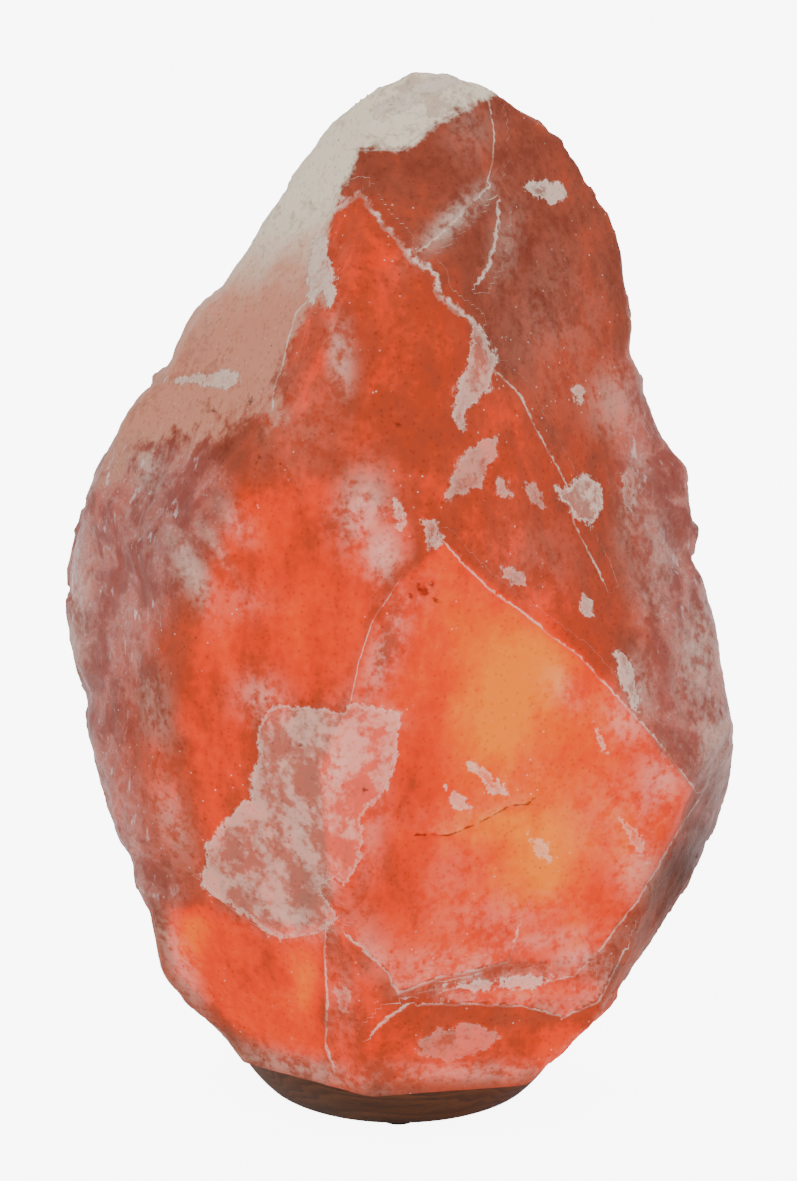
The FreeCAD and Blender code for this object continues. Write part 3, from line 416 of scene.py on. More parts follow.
def skinPush(outer, normal, edge):
    # metres that the relief moves the skin outwards
    sides = 1 - smooth(0.25, 0.75, -normal[:, 1])
    push = roughness(outer, salt["broad"][0], 3, seed=11) * salt["broad"][1]
    layers = {
        "flakes": chips(outer + 0.004 * waves(outer, 0.02, seed=5)[:, None], salt["flakes"][0], seed=21),
        "chips": chips(outer + 0.002 * waves(outer, 0.01, seed=6)[:, None], salt["chips"][0], seed=31),
        "grain": roughness(outer, salt["grain"][0], 3, seed=41),
    }
    for name, layer in layers.items():
        _, behind, before = salt[name]
        push = push + (sides * behind + (1 - sides) * before) * layer
    size, depth, _ = salt["crumbledEdge"]
    crumble = smooth(2.6, 0.2, edge) * smooth(-0.1, 0.7, waves(outer, size, seed=51) + 0.3)
    return push - depth * crumble, layers["grain"]


def shapeBoulder():
    outer, direction, normal, edge, floor = boulderSkin()
    columns = salt["columns"]
    toCamera = shotAxes()[0] - outer
    toCamera /= np.linalg.norm(toCamera, axis=1)[:, None]
    facing = (normal * toCamera).sum(1)
    places = pictureOf(outer)
    front = smooth(-0.15, 0.05, facing)  # 1 where the photograph shows the skin

    push, grain = skinPush(outer, normal, edge)
    for x, y, radius, depth in dents:
        push = push - depth * milli * blot(places, x, y, radius, radius)
    drop, lipHighlight = ledgeDrop(places)
    push = push - front * drop
    frostIn, _ = frostAt(places)
    push = push + front * salt["frostHeight"] * smooth(-0.4, 1.0, frostIn + 1.2 * grain)

    fade = smooth(0, salt["fadeAboveUnderside"], outer[:, 2] - floor)
    way = direction * push[:, None]
    way[:, 2] *= fade
    outer = outer + way
    lastRow = slice((salt["outerRows"] - 1) * columns, None)
    outer[lastRow, 2] = floor
    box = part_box("salt_crystal")
    outer = np.clip(outer, np.array(box[0]), np.array(box[1]))

    # underside, bore and dome close the skin
    rings = [outer.reshape(-1, columns, 3)]
    rim = outer[lastRow]
    turn = np.arctan2(rim[:, 0], -rim[:, 1])
    level = np.stack([np.sin(turn), -np.cos(turn)], 1)
    bore = np.concatenate([level * salt["boreRadius"], np.full((columns, 1), floor)], 1)
    share = np.linspace(0, 1, salt["undersideRows"] + 1)[1:, None, None]
    rings.append(rim + (bore - rim) * share)
    spring = salt["boreTop"] - salt["boreRadius"]
    heights = np.linspace(floor, spring, salt["boreRows"] + 1)[1:]
    wall = np.repeat(bore[None], len(heights), 0)
    wall[..., 2] = heights[:, None]
    rings.append(wall)
    arc = np.linspace(0, np.pi / 2, salt["domeRows"] + 1)[1:]
    dome = np.repeat(bore[None], len(arc), 0)
    dome[..., :2] *= np.cos(arc)[:, None, None]
    dome[..., 2] = (spring + salt["boreRadius"] * np.sin(arc))[:, None]
    rings.append(dome)
    points = np.concatenate(rings).reshape(-1, 3)
    rows = len(points) // columns
    extra = len(points) - len(outer)
    looks = boulderLooks(outer, normal, edge, facing, front, drop / milli, lipHighlight)
    inner = {
        "glow": 0.88, "frost": -noMark, "pale": -noMark, "edge": noMark, "lineSide": noMark,
        "dark": noMark,
    }
    looks = {
        label: np.concatenate([values, np.full(extra, inner.get(label, 0.0))])
        for label, values in looks.items()
    }
    return points, gridFaces(rows, columns), looks


# What the photograph shows on the boulder's front, drawn in its pixels.

# Glow: outline, brightness from 0 (none) to 1 (yellow), softness of its edge in millimetres. Each face's
# level is the lamp's glow and in part painted light and shade of that face.
glowFields = [
    ([(330, 200), (470, 320), (560, 460), (610, 600), (690, 760), (590, 1080), (300, 1080), (200, 980),
      (185, 640), (265, 440)], 0.44, 12),
    ([(358, 150), (402, 150), (432, 126), (470, 108), (492, 112), (497, 160), (489, 190), (454, 221),
      (420, 251), (398, 238), (380, 221), (361, 190), (350, 180)], 0.27, 2.5),
    ([(498, 130), (610, 230), (625, 380), (560, 460), (500, 375), (470, 320), (490, 250)], 0.2, 5),
    ([(335, 210), (361, 190), (398, 238), (439, 295), (472, 321), (465, 364), (454, 421), (445, 520),
      (398, 583), (330, 500), (290, 400), (330, 310)], 0.46, 4),
    ([(590, 240), (640, 380), (655, 640), (715, 780), (670, 752), (603, 640), (575, 522), (560, 463),
      (520, 395)], 0.34, 7),
    ([(472, 330), (500, 375), (560, 463), (603, 590), (577, 656), (513, 609), (462, 563), (430, 540),
      (440, 440)], 0.44, 4),
    ([(240, 490), (330, 480), (400, 520), (398, 583), (372, 622), (350, 704), (300, 700), (255, 730),
      (215, 840), (180, 720), (200, 600)], 0.57, 6),
    ([(445, 543), (523, 613), (580, 656), (623, 704), (693, 787), (679, 829), (638, 900), (595, 956),
      (500, 965), (399, 996), (345, 930), (330, 880), (320, 770), (350, 704), (372, 622), (398, 583)],
      0.66, 1.6),
    ([(345, 885), (395, 870), (450, 960), (399, 996), (340, 1000), (326, 918)], 0.6, 5),
    ([(165, 905), (240, 918), (325, 930), (325, 1060), (290, 1055), (225, 1020), (175, 975)], 0.64, 4),
    ([(326, 925), (387, 975), (399, 996), (443, 980), (500, 965), (595, 956), (610, 1020), (560, 1070),
      (330, 1090)], 0.52, 3),
]
# x, y, half width, half height, turn, change of the glow
glowSpots = [
    (512, 690, 40, 60, 22, 0.4), (478, 640, 34, 44, 0, 0.2), (550, 668, 30, 26, 40, 0.2),
    (486, 742, 34, 44, 0, 0.16), (536, 868, 38, 66, -12, 0.36), (478, 829, 42, 18, -14, 0.24),
    (575, 790, 44, 60, 0, 0.12), (600, 730, 40, 40, 0, 0.1), (197, 928, 16, 36, 30, 0.22),
    (305, 985, 16, 50, 6, 0.22), (300, 590, 60, 70, 0, 0.05), (630, 830, 36, 50, 0, 0.04),
    (395, 900, 40, 50, 0, -0.03), (405, 800, 30, 50, 0, -0.07), (560, 1040, 40, 20, 0, 0.1),
    (230, 520, 30, 50, 0, 0.05), (400, 430, 60, 60, 0, -0.03), (384, 650, 18, 60, 16, -0.14),
    (500, 1020, 60, 8, 0, -0.08), (520, 992, 70, 9, -3, 0.22), (650, 905, 24, 60, 32, -0.1),
    (255, 960, 16, 40, 20, -0.08), (300, 640, 30, 40, 0, 0.06), (480, 585, 26, 20, 40, -0.1),
    (520, 925, 60, 20, -8, -0.1), (158, 770, 30, 84, -12, 0.2), (150, 650, 20, 40, 20, 0.1),
]

# Frost on the surface: strength, then its outline.
frostPatches = [
    (0.62, [(472, 321), (484, 335), (496, 360), (489, 390), (475, 402), (465, 408), (463, 434),
        (454, 421), (457, 395), (467, 364)]),
    (0.4, [(498, 438), (493, 456), (480, 486), (463, 495), (446, 499), (459, 464), (472, 447)]),
    (0.45, [(497, 476), (504, 480), (510, 496), (500, 492)]),
    (0.35, [(526, 483), (536, 488), (545, 509), (533, 503)]),
    (0.95, [(554, 487), (566, 490), (576, 478), (590, 476), (602, 488), (603, 505), (594, 522),
        (588, 532), (580, 522), (568, 512), (560, 500)]),
    (0.6, [(572, 386), (582, 390), (585, 403), (576, 400)]),
    (0.65, [(584, 596), (591, 600), (589, 613), (580, 608)]),
    (0.8, [(617, 648), (626, 655), (636, 680), (641, 713), (632, 706), (622, 680)]),
    (0.45, [(621, 470), (636, 490), (634, 522), (622, 505)]),
    (0.45, [(502, 570), (520, 570), (528, 587), (512, 585)]),
    (0.62, [(272, 703), (343, 711), (353, 702), (400, 715), (395, 760), (380, 800), (363, 817),
        (361, 861), (345, 885), (333, 880), (320, 885), (337, 918), (317, 933), (281, 938), (241, 916),
        (203, 885), (205, 850), (235, 810), (250, 800), (262, 745), (255, 730)]),
    (0.9, [(524, 184), (545, 182), (563, 193), (560, 201), (535, 199)]),
    (0.7, [(163, 380), (198, 374), (233, 371), (243, 384), (233, 389), (198, 384)]),
    (0.65, [(467, 761), (490, 770), (510, 796), (488, 792)]),
    (0.55, [(445, 787), (462, 795), (473, 809), (455, 806)]),
    (0.65, [(593, 722), (603, 735), (606, 752), (596, 742)]),
    (0.5, [(619, 817), (640, 830), (647, 861), (630, 845)]),
    (0.45, [(528, 835), (545, 845), (550, 861), (535, 852)]),
    (0.85, [(325, 237), (333, 270), (334, 300), (332, 309), (322, 290), (309, 300), (309, 270),
        (312, 240)]),
    (0.75, [(440, 985), (505, 978), (556, 976), (540, 986), (480, 992)]),
    (0.9, [(366, 108), (395, 98), (412, 86), (446, 74), (474, 70), (486, 80), (455, 84), (425, 96),
        (400, 110), (376, 116)]),
    (0.24, [(418, 1042), (440, 1028), (480, 1026), (497, 1036), (480, 1054), (450, 1062), (424, 1056)]),
    (0.36, [(337, 985), (352, 990), (350, 1012), (338, 1020)]),
    (0.6, [(395, 500), (405, 508), (402, 530), (394, 520)]),
    (0.6, [(422, 520), (438, 518), (442, 540), (430, 550), (424, 540)]),
]

# Soft veils of frost, and at the left and right rims a painted sheen: x, y, half width, half height,
# turn, strength.
frostAndSheenVeils = [
    (362, 510, 24, 36, 10, 0.85), (382, 552, 20, 28, 0, 0.85), (340, 358, 13, 40, -6, 0.65),
    (192, 572, 14, 40, -28, 0.75), (214, 545, 8, 30, -32, 0.5), (236, 522, 12, 26, -35, 0.5),
    (150, 470, 16, 24, 0, 0.6), (612, 400, 24, 34, 0, 0.45), (632, 500, 14, 50, 8, 0.45),
    (640, 690, 16, 36, 0, 0.5), (660, 780, 26, 40, 20, 0.55), (640, 872, 26, 30, 0, 0.55),
    (580, 958, 30, 14, 0, 0.7), (430, 962, 60, 16, -8, 0.4), (470, 1072, 90, 10, 0, 0.55),
    # all three on the next line: a painted sheen along the right and left rims
    (700, 650, 22, 60, 8, 0.7), (715, 740, 22, 50, 0, 0.7), (75, 600, 14, 90, 0, 0.6),
    (655, 560, 24, 50, 0, 0.4), (625, 722, 20, 26, -30, 0.6), (620, 820, 50, 50, 0, 0.2),
    (300, 1068, 90, 14, 12, 0.55), (262, 700, 26, 22, 20, 0.6), (384, 655, 15, 52, 22, 0.62),
    (500, 915, 70, 22, -6, 0.28), (565, 690, 16, 26, -40, 0.3), (300, 420, 40, 60, 0, 0.12),
    (345, 1000, 12, 30, 0, 0.35), (455, 218, 46, 11, -43, 0.85), (560, 330, 50, 70, 0, 0.12),
    (240, 600, 30, 20, 0, 0.2), (338, 765, 24, 62, 22, 1.0), (300, 832, 26, 28, 0, 0.95),
    (372, 722, 26, 16, 0, 0.7), (285, 915, 44, 16, 18, 1.0), (322, 880, 18, 26, 0, 0.8),
    (540, 560, 40, 40, 0, 0.1), (178, 960, 12, 60, -24, 0.6), (128, 880, 12, 40, 0, 0.5),
    (545, 940, 50, 10, -10, 0.5), (410, 600, 16, 24, 30, 0.35), (470, 130, 24, 30, 0, 0.2),
    # the last one on the next line: a painted sheen along the left rim
    (150, 700, 18, 50, -14, 0.45), (172, 820, 16, 44, -18, 0.45), (52, 590, 10, 70, 4, 0.8),
    (505, 245, 16, 40, 10, 0.25), (370, 830, 16, 50, 8, 0.35), (450, 880, 30, 40, 30, 0.15),
]

# Pale veins: half width in millimetres, then the line.
veins = [
    (1.1, [(335, 210), (361, 190), (380, 221), (398, 238), (411, 258), (433, 273), (439, 295),
        (454, 308), (472, 321)]),
    (0.32, [(498, 373), (520, 395), (541, 438), (559, 469), (567, 486), (574, 522), (590, 555),
        (603, 581)]),
    (0.5, [(489, 186), (454, 221), (420, 251)]),
    (0.3, [(489, 101), (494, 134), (493, 162), (487, 183)]),
    (0.65, [(498, 203), (496, 234), (489, 264), (478, 282)]),
    (0.3, [(311, 297), (296, 312), (287, 343), (283, 364), (274, 390), (272, 408)]),
    (0.55, [(372, 1034), (387, 1019), (407, 1006)]),
    (0.4, [(445, 543), (462, 563), (488, 588), (523, 613), (552, 636), (580, 656), (603, 682),
        (623, 704), (646, 728), (667, 752), (693, 787)]),
    (0.22, [(398, 583), (372, 622), (359, 661), (350, 704), (337, 730), (320, 770)]),
    (0.4, [(326, 921), (325, 960), (327, 1005), (326, 1047), (337, 1077)]),
    (0.55, lines["lowLip"]),
    (0.4, lines["bottomLip"]),
    (0.35, [(699, 800), (679, 829), (638, 900), (595, 956)]),
    (0.35, lines["frostFoot"]),
    (0.3, lines["middleLip"]),
    (0.3, [(358, 150), (402, 150), (432, 126), (470, 108)]),
]
# Duller places: x, y, half width, half height, turn, strength.
dimSpots = [
    (684, 864, 26, 70, 30, 0.84), (712, 800, 16, 50, 10, 0.5), (140, 700, 30, 60, 0, 0.25),
    (150, 520, 34, 40, 0, 0.25),
]
darkLines = [
    (0.35, lines["crack"]),
]
flecks = [
    (425, 592, 6), (432, 586, 4), (418, 584, 3), (436, 600, 3), (250, 401, 4), (260, 456, 3),
    (214, 410, 3), (274, 471, 3), (375, 332, 3), (256, 463, 3), (398, 425, 4), (365, 790, 3),
    (300, 745, 3), (410, 596, 3),
]

# Pale grey skin along the top and upper left, and the mauve, crusted flanks.
paleBand = [
    (505, 60), (400, 40), (330, 90), (240, 220), (90, 410), (100, 480), (150, 455), (230, 420),
    (272, 408), (287, 343), (311, 297), (332, 308), (325, 237), (335, 205), (347, 176), (357, 150),
    (402, 150), (432, 126), (470, 108), (497, 95),
]
crustFields = [
    [(110, 430), (30, 560), (30, 660), (70, 760), (120, 900), (172, 900), (150, 850), (122, 770),
      (118, 700), (152, 620), (212, 530), (220, 480), (200, 450)],
    [(640, 340), (780, 560), (780, 760), (740, 850), (712, 880), (690, 850), (690, 830), (700, 800),
      (672, 765), (655, 740), (640, 690), (650, 640), (640, 560), (622, 470)],
]


# Where the photograph shows nothing, the looks go on round the sides and back. The glow falls off
# from the bulb by so much for each metre.
beyondView = {
    "bulb": (0, 0, 0.085),
    "heightShare": 0.8,        # how much a metre upwards counts
    "glowAtWall": 0.80,
    "wallFromBulb": 0.055,
    "glowLoss": 4.6,
    "mottle": 0.16,
    "leastGlow": 0.04,
    "mostGlow": 0.72,
    "flankLoss": 0.45,
    "frostStrength": 0.42,
    "veil": 0.6,
    "paleAbove": 252,          # millimetres, at the right
    "paleLower": 62,           # and so much lower at the left
}


def frostAt(places):
    # millimetres inside the nearest frost patch, and that patch's strength
    frost = np.full(len(places), -noMark)
    strength = np.zeros(len(places))
    for amount, outline in frostPatches:
        inside = insideBy(places, outline)
        strength = np.where(inside > frost, amount, strength)
        frost = np.maximum(frost, inside)
    return frost, strength


def glowAt(points, places, normal, front, drop):
    # at the front as drawn, a little weaker beside a ledge, a painted shade under its step
    drawn = np.full(len(points), 0.24)
    for outline, level, blur in glowFields:
        inside = smooth(-blur, blur, insideBy(places, outline))
        drawn = drawn + (level - drawn) * inside
    for x, y, wide, high, turn, gain in glowSpots:
        drawn = drawn + gain * blot(places, x, y, wide, high, turn)

    # elsewhere it falls off with the distance from the bulb
    rest = beyondView
    way = (points - np.array(rest["bulb"])) * np.array([1, 1, rest["heightShare"]])
    farther = np.linalg.norm(way, axis=1) - rest["wallFromBulb"]
    around = rest["glowAtWall"] - rest["glowLoss"] * farther
    around = around + rest["mottle"] * roughness(points, 0.045, 2, seed=61)
    around = np.clip(around, rest["leastGlow"], rest["mostGlow"])
    around = around * (1 - rest["flankLoss"] * smooth(0.4, 0.9, np.abs(normal[:, 0])))
    return front * (drawn - 0.09 * drop) + (1 - front) * around


def linesAt(places, front):
    # how many half widths beside the nearest vein, with its side's sign, and away from dark marks
    near = np.full(len(places), farAway)
    side = np.full(len(places), noMark)
    for width, line in veins:
        away, signed = lineAway(places, line)
        closer = away < near
        near = np.where(closer, away, near)
        side = np.where(closer, signed / width, side)
    side = np.where((front > 0.3) & (near < 4.0), side, noMark)
    dark = np.full(len(places), noMark)
    for width, line in darkLines:
        away, _ = lineAway(places, line)
        dark = np.minimum(dark, away / width)
    for x, y, radius in flecks:
        away = np.hypot(places[:, 0] - x, places[:, 1] - y) / radius
        dark = np.minimum(dark, away)
    return side, np.where(front > 0.3, dark, noMark)


def boulderLooks(points, normal, edge, facing, front, drop, lipHighlight):
    places = pictureOf(points)
    count = len(points)
    glow = glowAt(points, places, normal, front, drop)
    side, dark = linesAt(places, front)

    frost, strength = frostAt(places)
    loose = (roughness(points, 0.030, 4, seed=71) - 0.60) * 10
    frost = front * frost + (1 - front) * loose
    strength = front * strength + (1 - front) * beyondView["frostStrength"]

    veil = np.zeros(count)
    for x, y, wide, high, turn, amount in frostAndSheenVeils:
        veil = np.maximum(veil, amount * blot(places, x, y, wide, high, turn))
    lipHighlightShare, paintedRimSheen = 0.65, 0.20
    # a painted highlight along the ledges' lips
    veil = np.maximum(veil, lipHighlightShare * lipHighlight)
    # a painted sheen along the outline, where the skin turns away from the camera
    veil = np.maximum(veil, paintedRimSheen * smooth(0.40, 0.12, facing))
    looseVeil = smooth(0.1, 0.9, roughness(points, 0.03, 3, seed=81)) * beyondView["veil"]
    veil = front * veil + (1 - front) * looseVeil

    # millimetres inside the pale skin, whose border is soft where it is low
    pale = insideBy(places, paleBand) * (1 - 0.72 * smooth(350, 400, places[:, 1]))
    lowest = beyondView["paleAbove"] - beyondView["paleLower"] * smooth(-0.01, -0.06, points[:, 0])
    pale = front * pale + (1 - front) * (points[:, 2] / milli - lowest) * 0.08
    # the pale skin turns creamier downwards
    cream = front * smooth(170, 360, places[:, 1] + 0.25 * (places[:, 0] - 250))
    cream = np.maximum(cream, (1 - front) * smooth(0.29, 0.24, points[:, 2]))
    dim = np.zeros(count)
    for x, y, wide, high, turn, amount in dimSpots:
        dim = np.maximum(dim, front * amount * blot(places, x, y, wide, high, turn))
    crust = np.zeros(count)
    for outline in crustFields:
        crust = np.maximum(crust, smooth(-8.0, 8.0, insideBy(places, outline)))
    flank = smooth(0.2, 0.75, np.abs(normal[:, 0])) * smooth(0.27, 0.2, points[:, 2])
    flank = flank * smooth(-0.6, 0.4, roughness(points, 0.05, 2, seed=91))
    crust = front * crust + (1 - front) * flank
    edge = edge + noMark * front  # the front's edges are drawn as veins
    return {
        "glow": glow, "frost": frost, "strength": strength, "veil": veil, "lineSide": side,
        "dark": dark, "pale": pale, "cream": cream, "crust": crust, "dim": dim, "edge": edge,
        "behind": 1 - front,
    }


# Materials.

class Wiring:
    # short ways to add nodes to one tree; a value may be a number, a colour or another node's output

    def __init__(self, tree):
        self.tree = tree

    def add(self, kind, settings=None, **values):
        node = self.tree.nodes.new(kind)
        for name, value in (settings or {}).items():
            setattr(node, name, value)
        for name, value in values.items():
            socket = node.inputs[name.replace("_", " ")]
            self.feed(socket, value)
        return node

    def feed(self, socket, value):
        if isinstance(value, bpy.types.NodeSocket):
            self.tree.links.new(value, socket)
        elif isinstance(value, (tuple, list)) and len(value) == 3 and socket.type == "RGBA":
            socket.default_value = (*value, 1.0)
        else:
            socket.default_value = value

    def maths(self, operation, a, b=0.0, clamp=False):
        node = self.tree.nodes.new("ShaderNodeMath")
        node.operation = operation
        node.use_clamp = clamp
        self.feed(node.inputs[0], a)
        self.feed(node.inputs[1], b)
        return node.outputs[0]

    def plus(self, *values):
        return functools.reduce(lambda a, b: self.maths("ADD", a, b), values)

    def times(self, *values):
        return functools.reduce(lambda a, b: self.maths("MULTIPLY", a, b), values)

    def most(self, *values):
        return functools.reduce(lambda a, b: self.maths("MAXIMUM", a, b), values)

    def clamped(self, value):
        return self.maths("MULTIPLY", value, 1.0, clamp=True)

    def less(self, value, amount):
        # 1 - value * amount
        return self.maths("SUBTRACT", 1.0, self.times(value, amount))

    def span(self, value, low, high, toLow=0.0, toHigh=1.0, kind="SMOOTHSTEP"):
        node = self.tree.nodes.new("ShaderNodeMapRange")
        node.interpolation_type = kind
        names = ("Value", "From Min", "From Max", "To Min", "To Max")
        for name, number in zip(names, (value, low, high, toLow, toHigh)):
            self.feed(node.inputs[name], number)
        return node.outputs["Result"]

    def signed(self, value, size):
        # from 0..1 to -size..size
        return self.span(value, 0.0, 1.0, -size, size, "LINEAR")

    def blend(self, share, a, b):
        node = self.tree.nodes.new("ShaderNodeMix")
        node.data_type = "RGBA"
        self.feed(node.inputs["Factor"], share)
        self.feed(node.inputs[6], a)
        self.feed(node.inputs[7], b)
        return node.outputs[2]

    def ramp(self, value, stops):
        # the first and last of the stops are at 0 and 1, as in a new ramp
        node = self.tree.nodes.new("ShaderNodeValToRGB")
        elements = node.color_ramp.elements
        for place, _ in stops[1:-1]:
            elements.new(place)
        for element, (_, colour) in zip(elements, stops):
            element.color = (*colour, 1.0)
        self.feed(node.inputs[0], value)
        return node.outputs[0]

    def scaled(self, colour, amount):
        node = self.tree.nodes.new("ShaderNodeVectorMath")
        node.operation = "SCALE"
        self.feed(node.inputs[0], colour)
        self.feed(node.inputs["Scale"], amount)
        return node.outputs[0]

    def place(self, scale=(1, 1, 1), turn=(0, 0, 0), shift=(0, 0, 0)):
        coordinates = self.tree.nodes.new("ShaderNodeTexCoord").outputs["Object"]
        node = self.add("ShaderNodeMapping", Scale=scale, Rotation=turn, Location=shift)
        self.feed(node.inputs["Vector"], coordinates)
        return node.outputs[0]

    def noise(self, vector, scale, detail=3.0, rough=0.5, twist=0.0):
        values = dict(Vector=vector, Scale=scale, Detail=detail, Roughness=rough, Distortion=twist)
        return self.add("ShaderNodeTexNoise", **values).outputs[0]

    def cells(self, vector, scale, feature="F1"):
        node = self.add("ShaderNodeTexVoronoi", {"feature": feature}, Vector=vector, Scale=scale)
        return node.outputs["Distance"]

    def reading(self, name):
        node = self.add("ShaderNodeAttribute", {"attribute_name": name})
        return node.outputs["Fac"]

    def bump(self, height, strength=1.0):
        # the height is in millimetres
        return self.add("ShaderNodeBump", Height=height, Strength=strength, Distance=milli).outputs[0]


def newMaterial(name, **constants):
    material = bpy.data.materials.new(name)
    material.use_nodes = True
    shader = next(node for node in material.node_tree.nodes if node.type == "BSDF_PRINCIPLED")
    for socket, value in constants.items():
        shader.inputs[socket.replace("_", " ")].default_value = value
    return material, Wiring(material.node_tree), shader


def newGroup(name, takes, gives):
    group = bpy.data.node_groups.new(name, "ShaderNodeTree")
    for label, kind, value in takes:
        socket = group.interface.new_socket(label, in_out="INPUT", socket_type=kind)
        if value is not None:
            socket.default_value = value
    for label, kind in gives:
        group.interface.new_socket(label, in_out="OUTPUT", socket_type=kind)
    wiring = Wiring(group)
    return group, wiring, group.nodes.new("NodeGroupInput"), group.nodes.new("NodeGroupOutput")


def useGroup(wiring, group, **values):
    node = wiring.tree.nodes.new("ShaderNodeGroup")
    node.node_tree = group
    for name, value in values.items():
        wiring.feed(node.inputs[name.replace("_", " ")], value)
    return node


# fine surface: mottled colour, uneven roughness and a little relief, for every made piece
def makeFineSurface():
    group, w, takes, gives = newGroup(
        "fineSurface",
        [("Colour", "NodeSocketColor", (0.5, 0.5, 0.5, 1)),
         ("Grime", "NodeSocketColor", (0.1, 0.08, 0.06, 1)), ("Size", "NodeSocketFloat", 300.0),
         ("Wear", "NodeSocketFloat", 0.2), ("Roughness", "NodeSocketFloat", 0.4)],
        [("Colour", "NodeSocketColor"), ("Roughness", "NodeSocketFloat"), ("Height", "NodeSocketFloat")],
    )
    place = w.place()
    size = takes.outputs["Size"]
    cloud = w.noise(place, w.times(size, 0.25), 4, 0.6)
    fine = w.noise(place, w.times(size, 4.0), 3, 0.6)
    dirty = w.times(w.span(cloud, 0.48, 0.72), takes.outputs["Wear"])
    colour = w.blend(dirty, takes.outputs["Colour"], takes.outputs["Grime"])
    lift = w.span(fine, 0.3, 0.7, 0.92, 1.08, "LINEAR")
    rough = w.plus(
        takes.outputs["Roughness"], w.span(cloud, 0.35, 0.7, -0.07, 0.16, "LINEAR"),
        w.span(fine, 0.3, 0.7, -0.03, 0.03, "LINEAR"),
    )
    w.feed(gives.inputs["Colour"], w.scaled(colour, lift))
    w.feed(gives.inputs["Roughness"], rough)
    w.feed(gives.inputs["Height"], w.plus(w.times(cloud, 0.6), w.times(fine, 0.4)))
    return group


# drawn or rolled metal: fine streaks along one direction
def makeStreaks():
    group, w, takes, gives = newGroup(
        "streaks",
        [("Stretch", "NodeSocketVector", (1, 1, 0.05)), ("Size", "NodeSocketFloat", 3000.0)],
        [("Height", "NodeSocketFloat")],
    )
    coordinates = w.tree.nodes.new("ShaderNodeTexCoord").outputs["Object"]
    squeezed = w.tree.nodes.new("ShaderNodeVectorMath")
    squeezed.operation = "MULTIPLY"
    w.feed(squeezed.inputs[0], coordinates)
    w.feed(squeezed.inputs[1], takes.outputs["Stretch"])
    w.feed(gives.inputs["Height"], w.noise(squeezed.outputs[0], takes.outputs["Size"], 2, 0.6))
    return group


saltColours = {
    # light that comes through, by glow from 0 to 1
    "through": [
        (0.0, (0.060, 0.020, 0.014)), (0.24, (0.250, 0.062, 0.036)), (0.46, (0.560, 0.052, 0.016)),
        (0.57, (1.060, 0.040, 0.001)), (0.68, (1.220, 0.062, 0.001)), (0.84, (1.320, 0.160, 0.001)),
        (1.0, (1.420, 0.290, 0.001)),
    ],
    "clear": (0.100, 0.010, 0.003),
    "cloudy": (0.200, 0.060, 0.035),
    "frost": (0.740, 0.600, 0.490),
    "pale": (0.740, 0.650, 0.500),
    "cream": (0.520, 0.230, 0.150),
    "mauve": (0.430, 0.112, 0.086),
    "mauveDeep": (0.230, 0.040, 0.032),
    "ridge": (0.540, 0.310, 0.280),
    # painted highlights: the colours of the sparkling grains and of the glints
    "grain": (0.620, 0.540, 0.520),
    "glint": (0.800, 0.700, 0.680),
    "speck": (0.040, 0.014, 0.008),
    "skinLight": (0.270, 0.200, 0.140),
    "creamLight": (0.200, 0.040, 0.022),
}


# Patterns in the salt: waves or cells in a metre.
saltPatterns = {
    "big": 26, "middle": 95, "fine": 420, "dust": 1500, "streak": 150, "shake": 140, "strays": 27,
    "flecks": 330, "wideNet": 85, "narrowNet": 230, "paintedSparkles": 700, "glints": 300, "dots": 160,
    "pits": 520, "facets": 210,
}
# How strongly each shows in the colour, and how much light it stops.
saltShares = {
    "cloud": 0.25, "veil": 0.72, "net": 0.55, "sparkle": 0.8, "pitShade": 0.3,
    "whiteStops": 0.45, "crustStops": 0.42, "speckStops": 0.85, "dimStops": 0.9, "coat": 0.55,
}


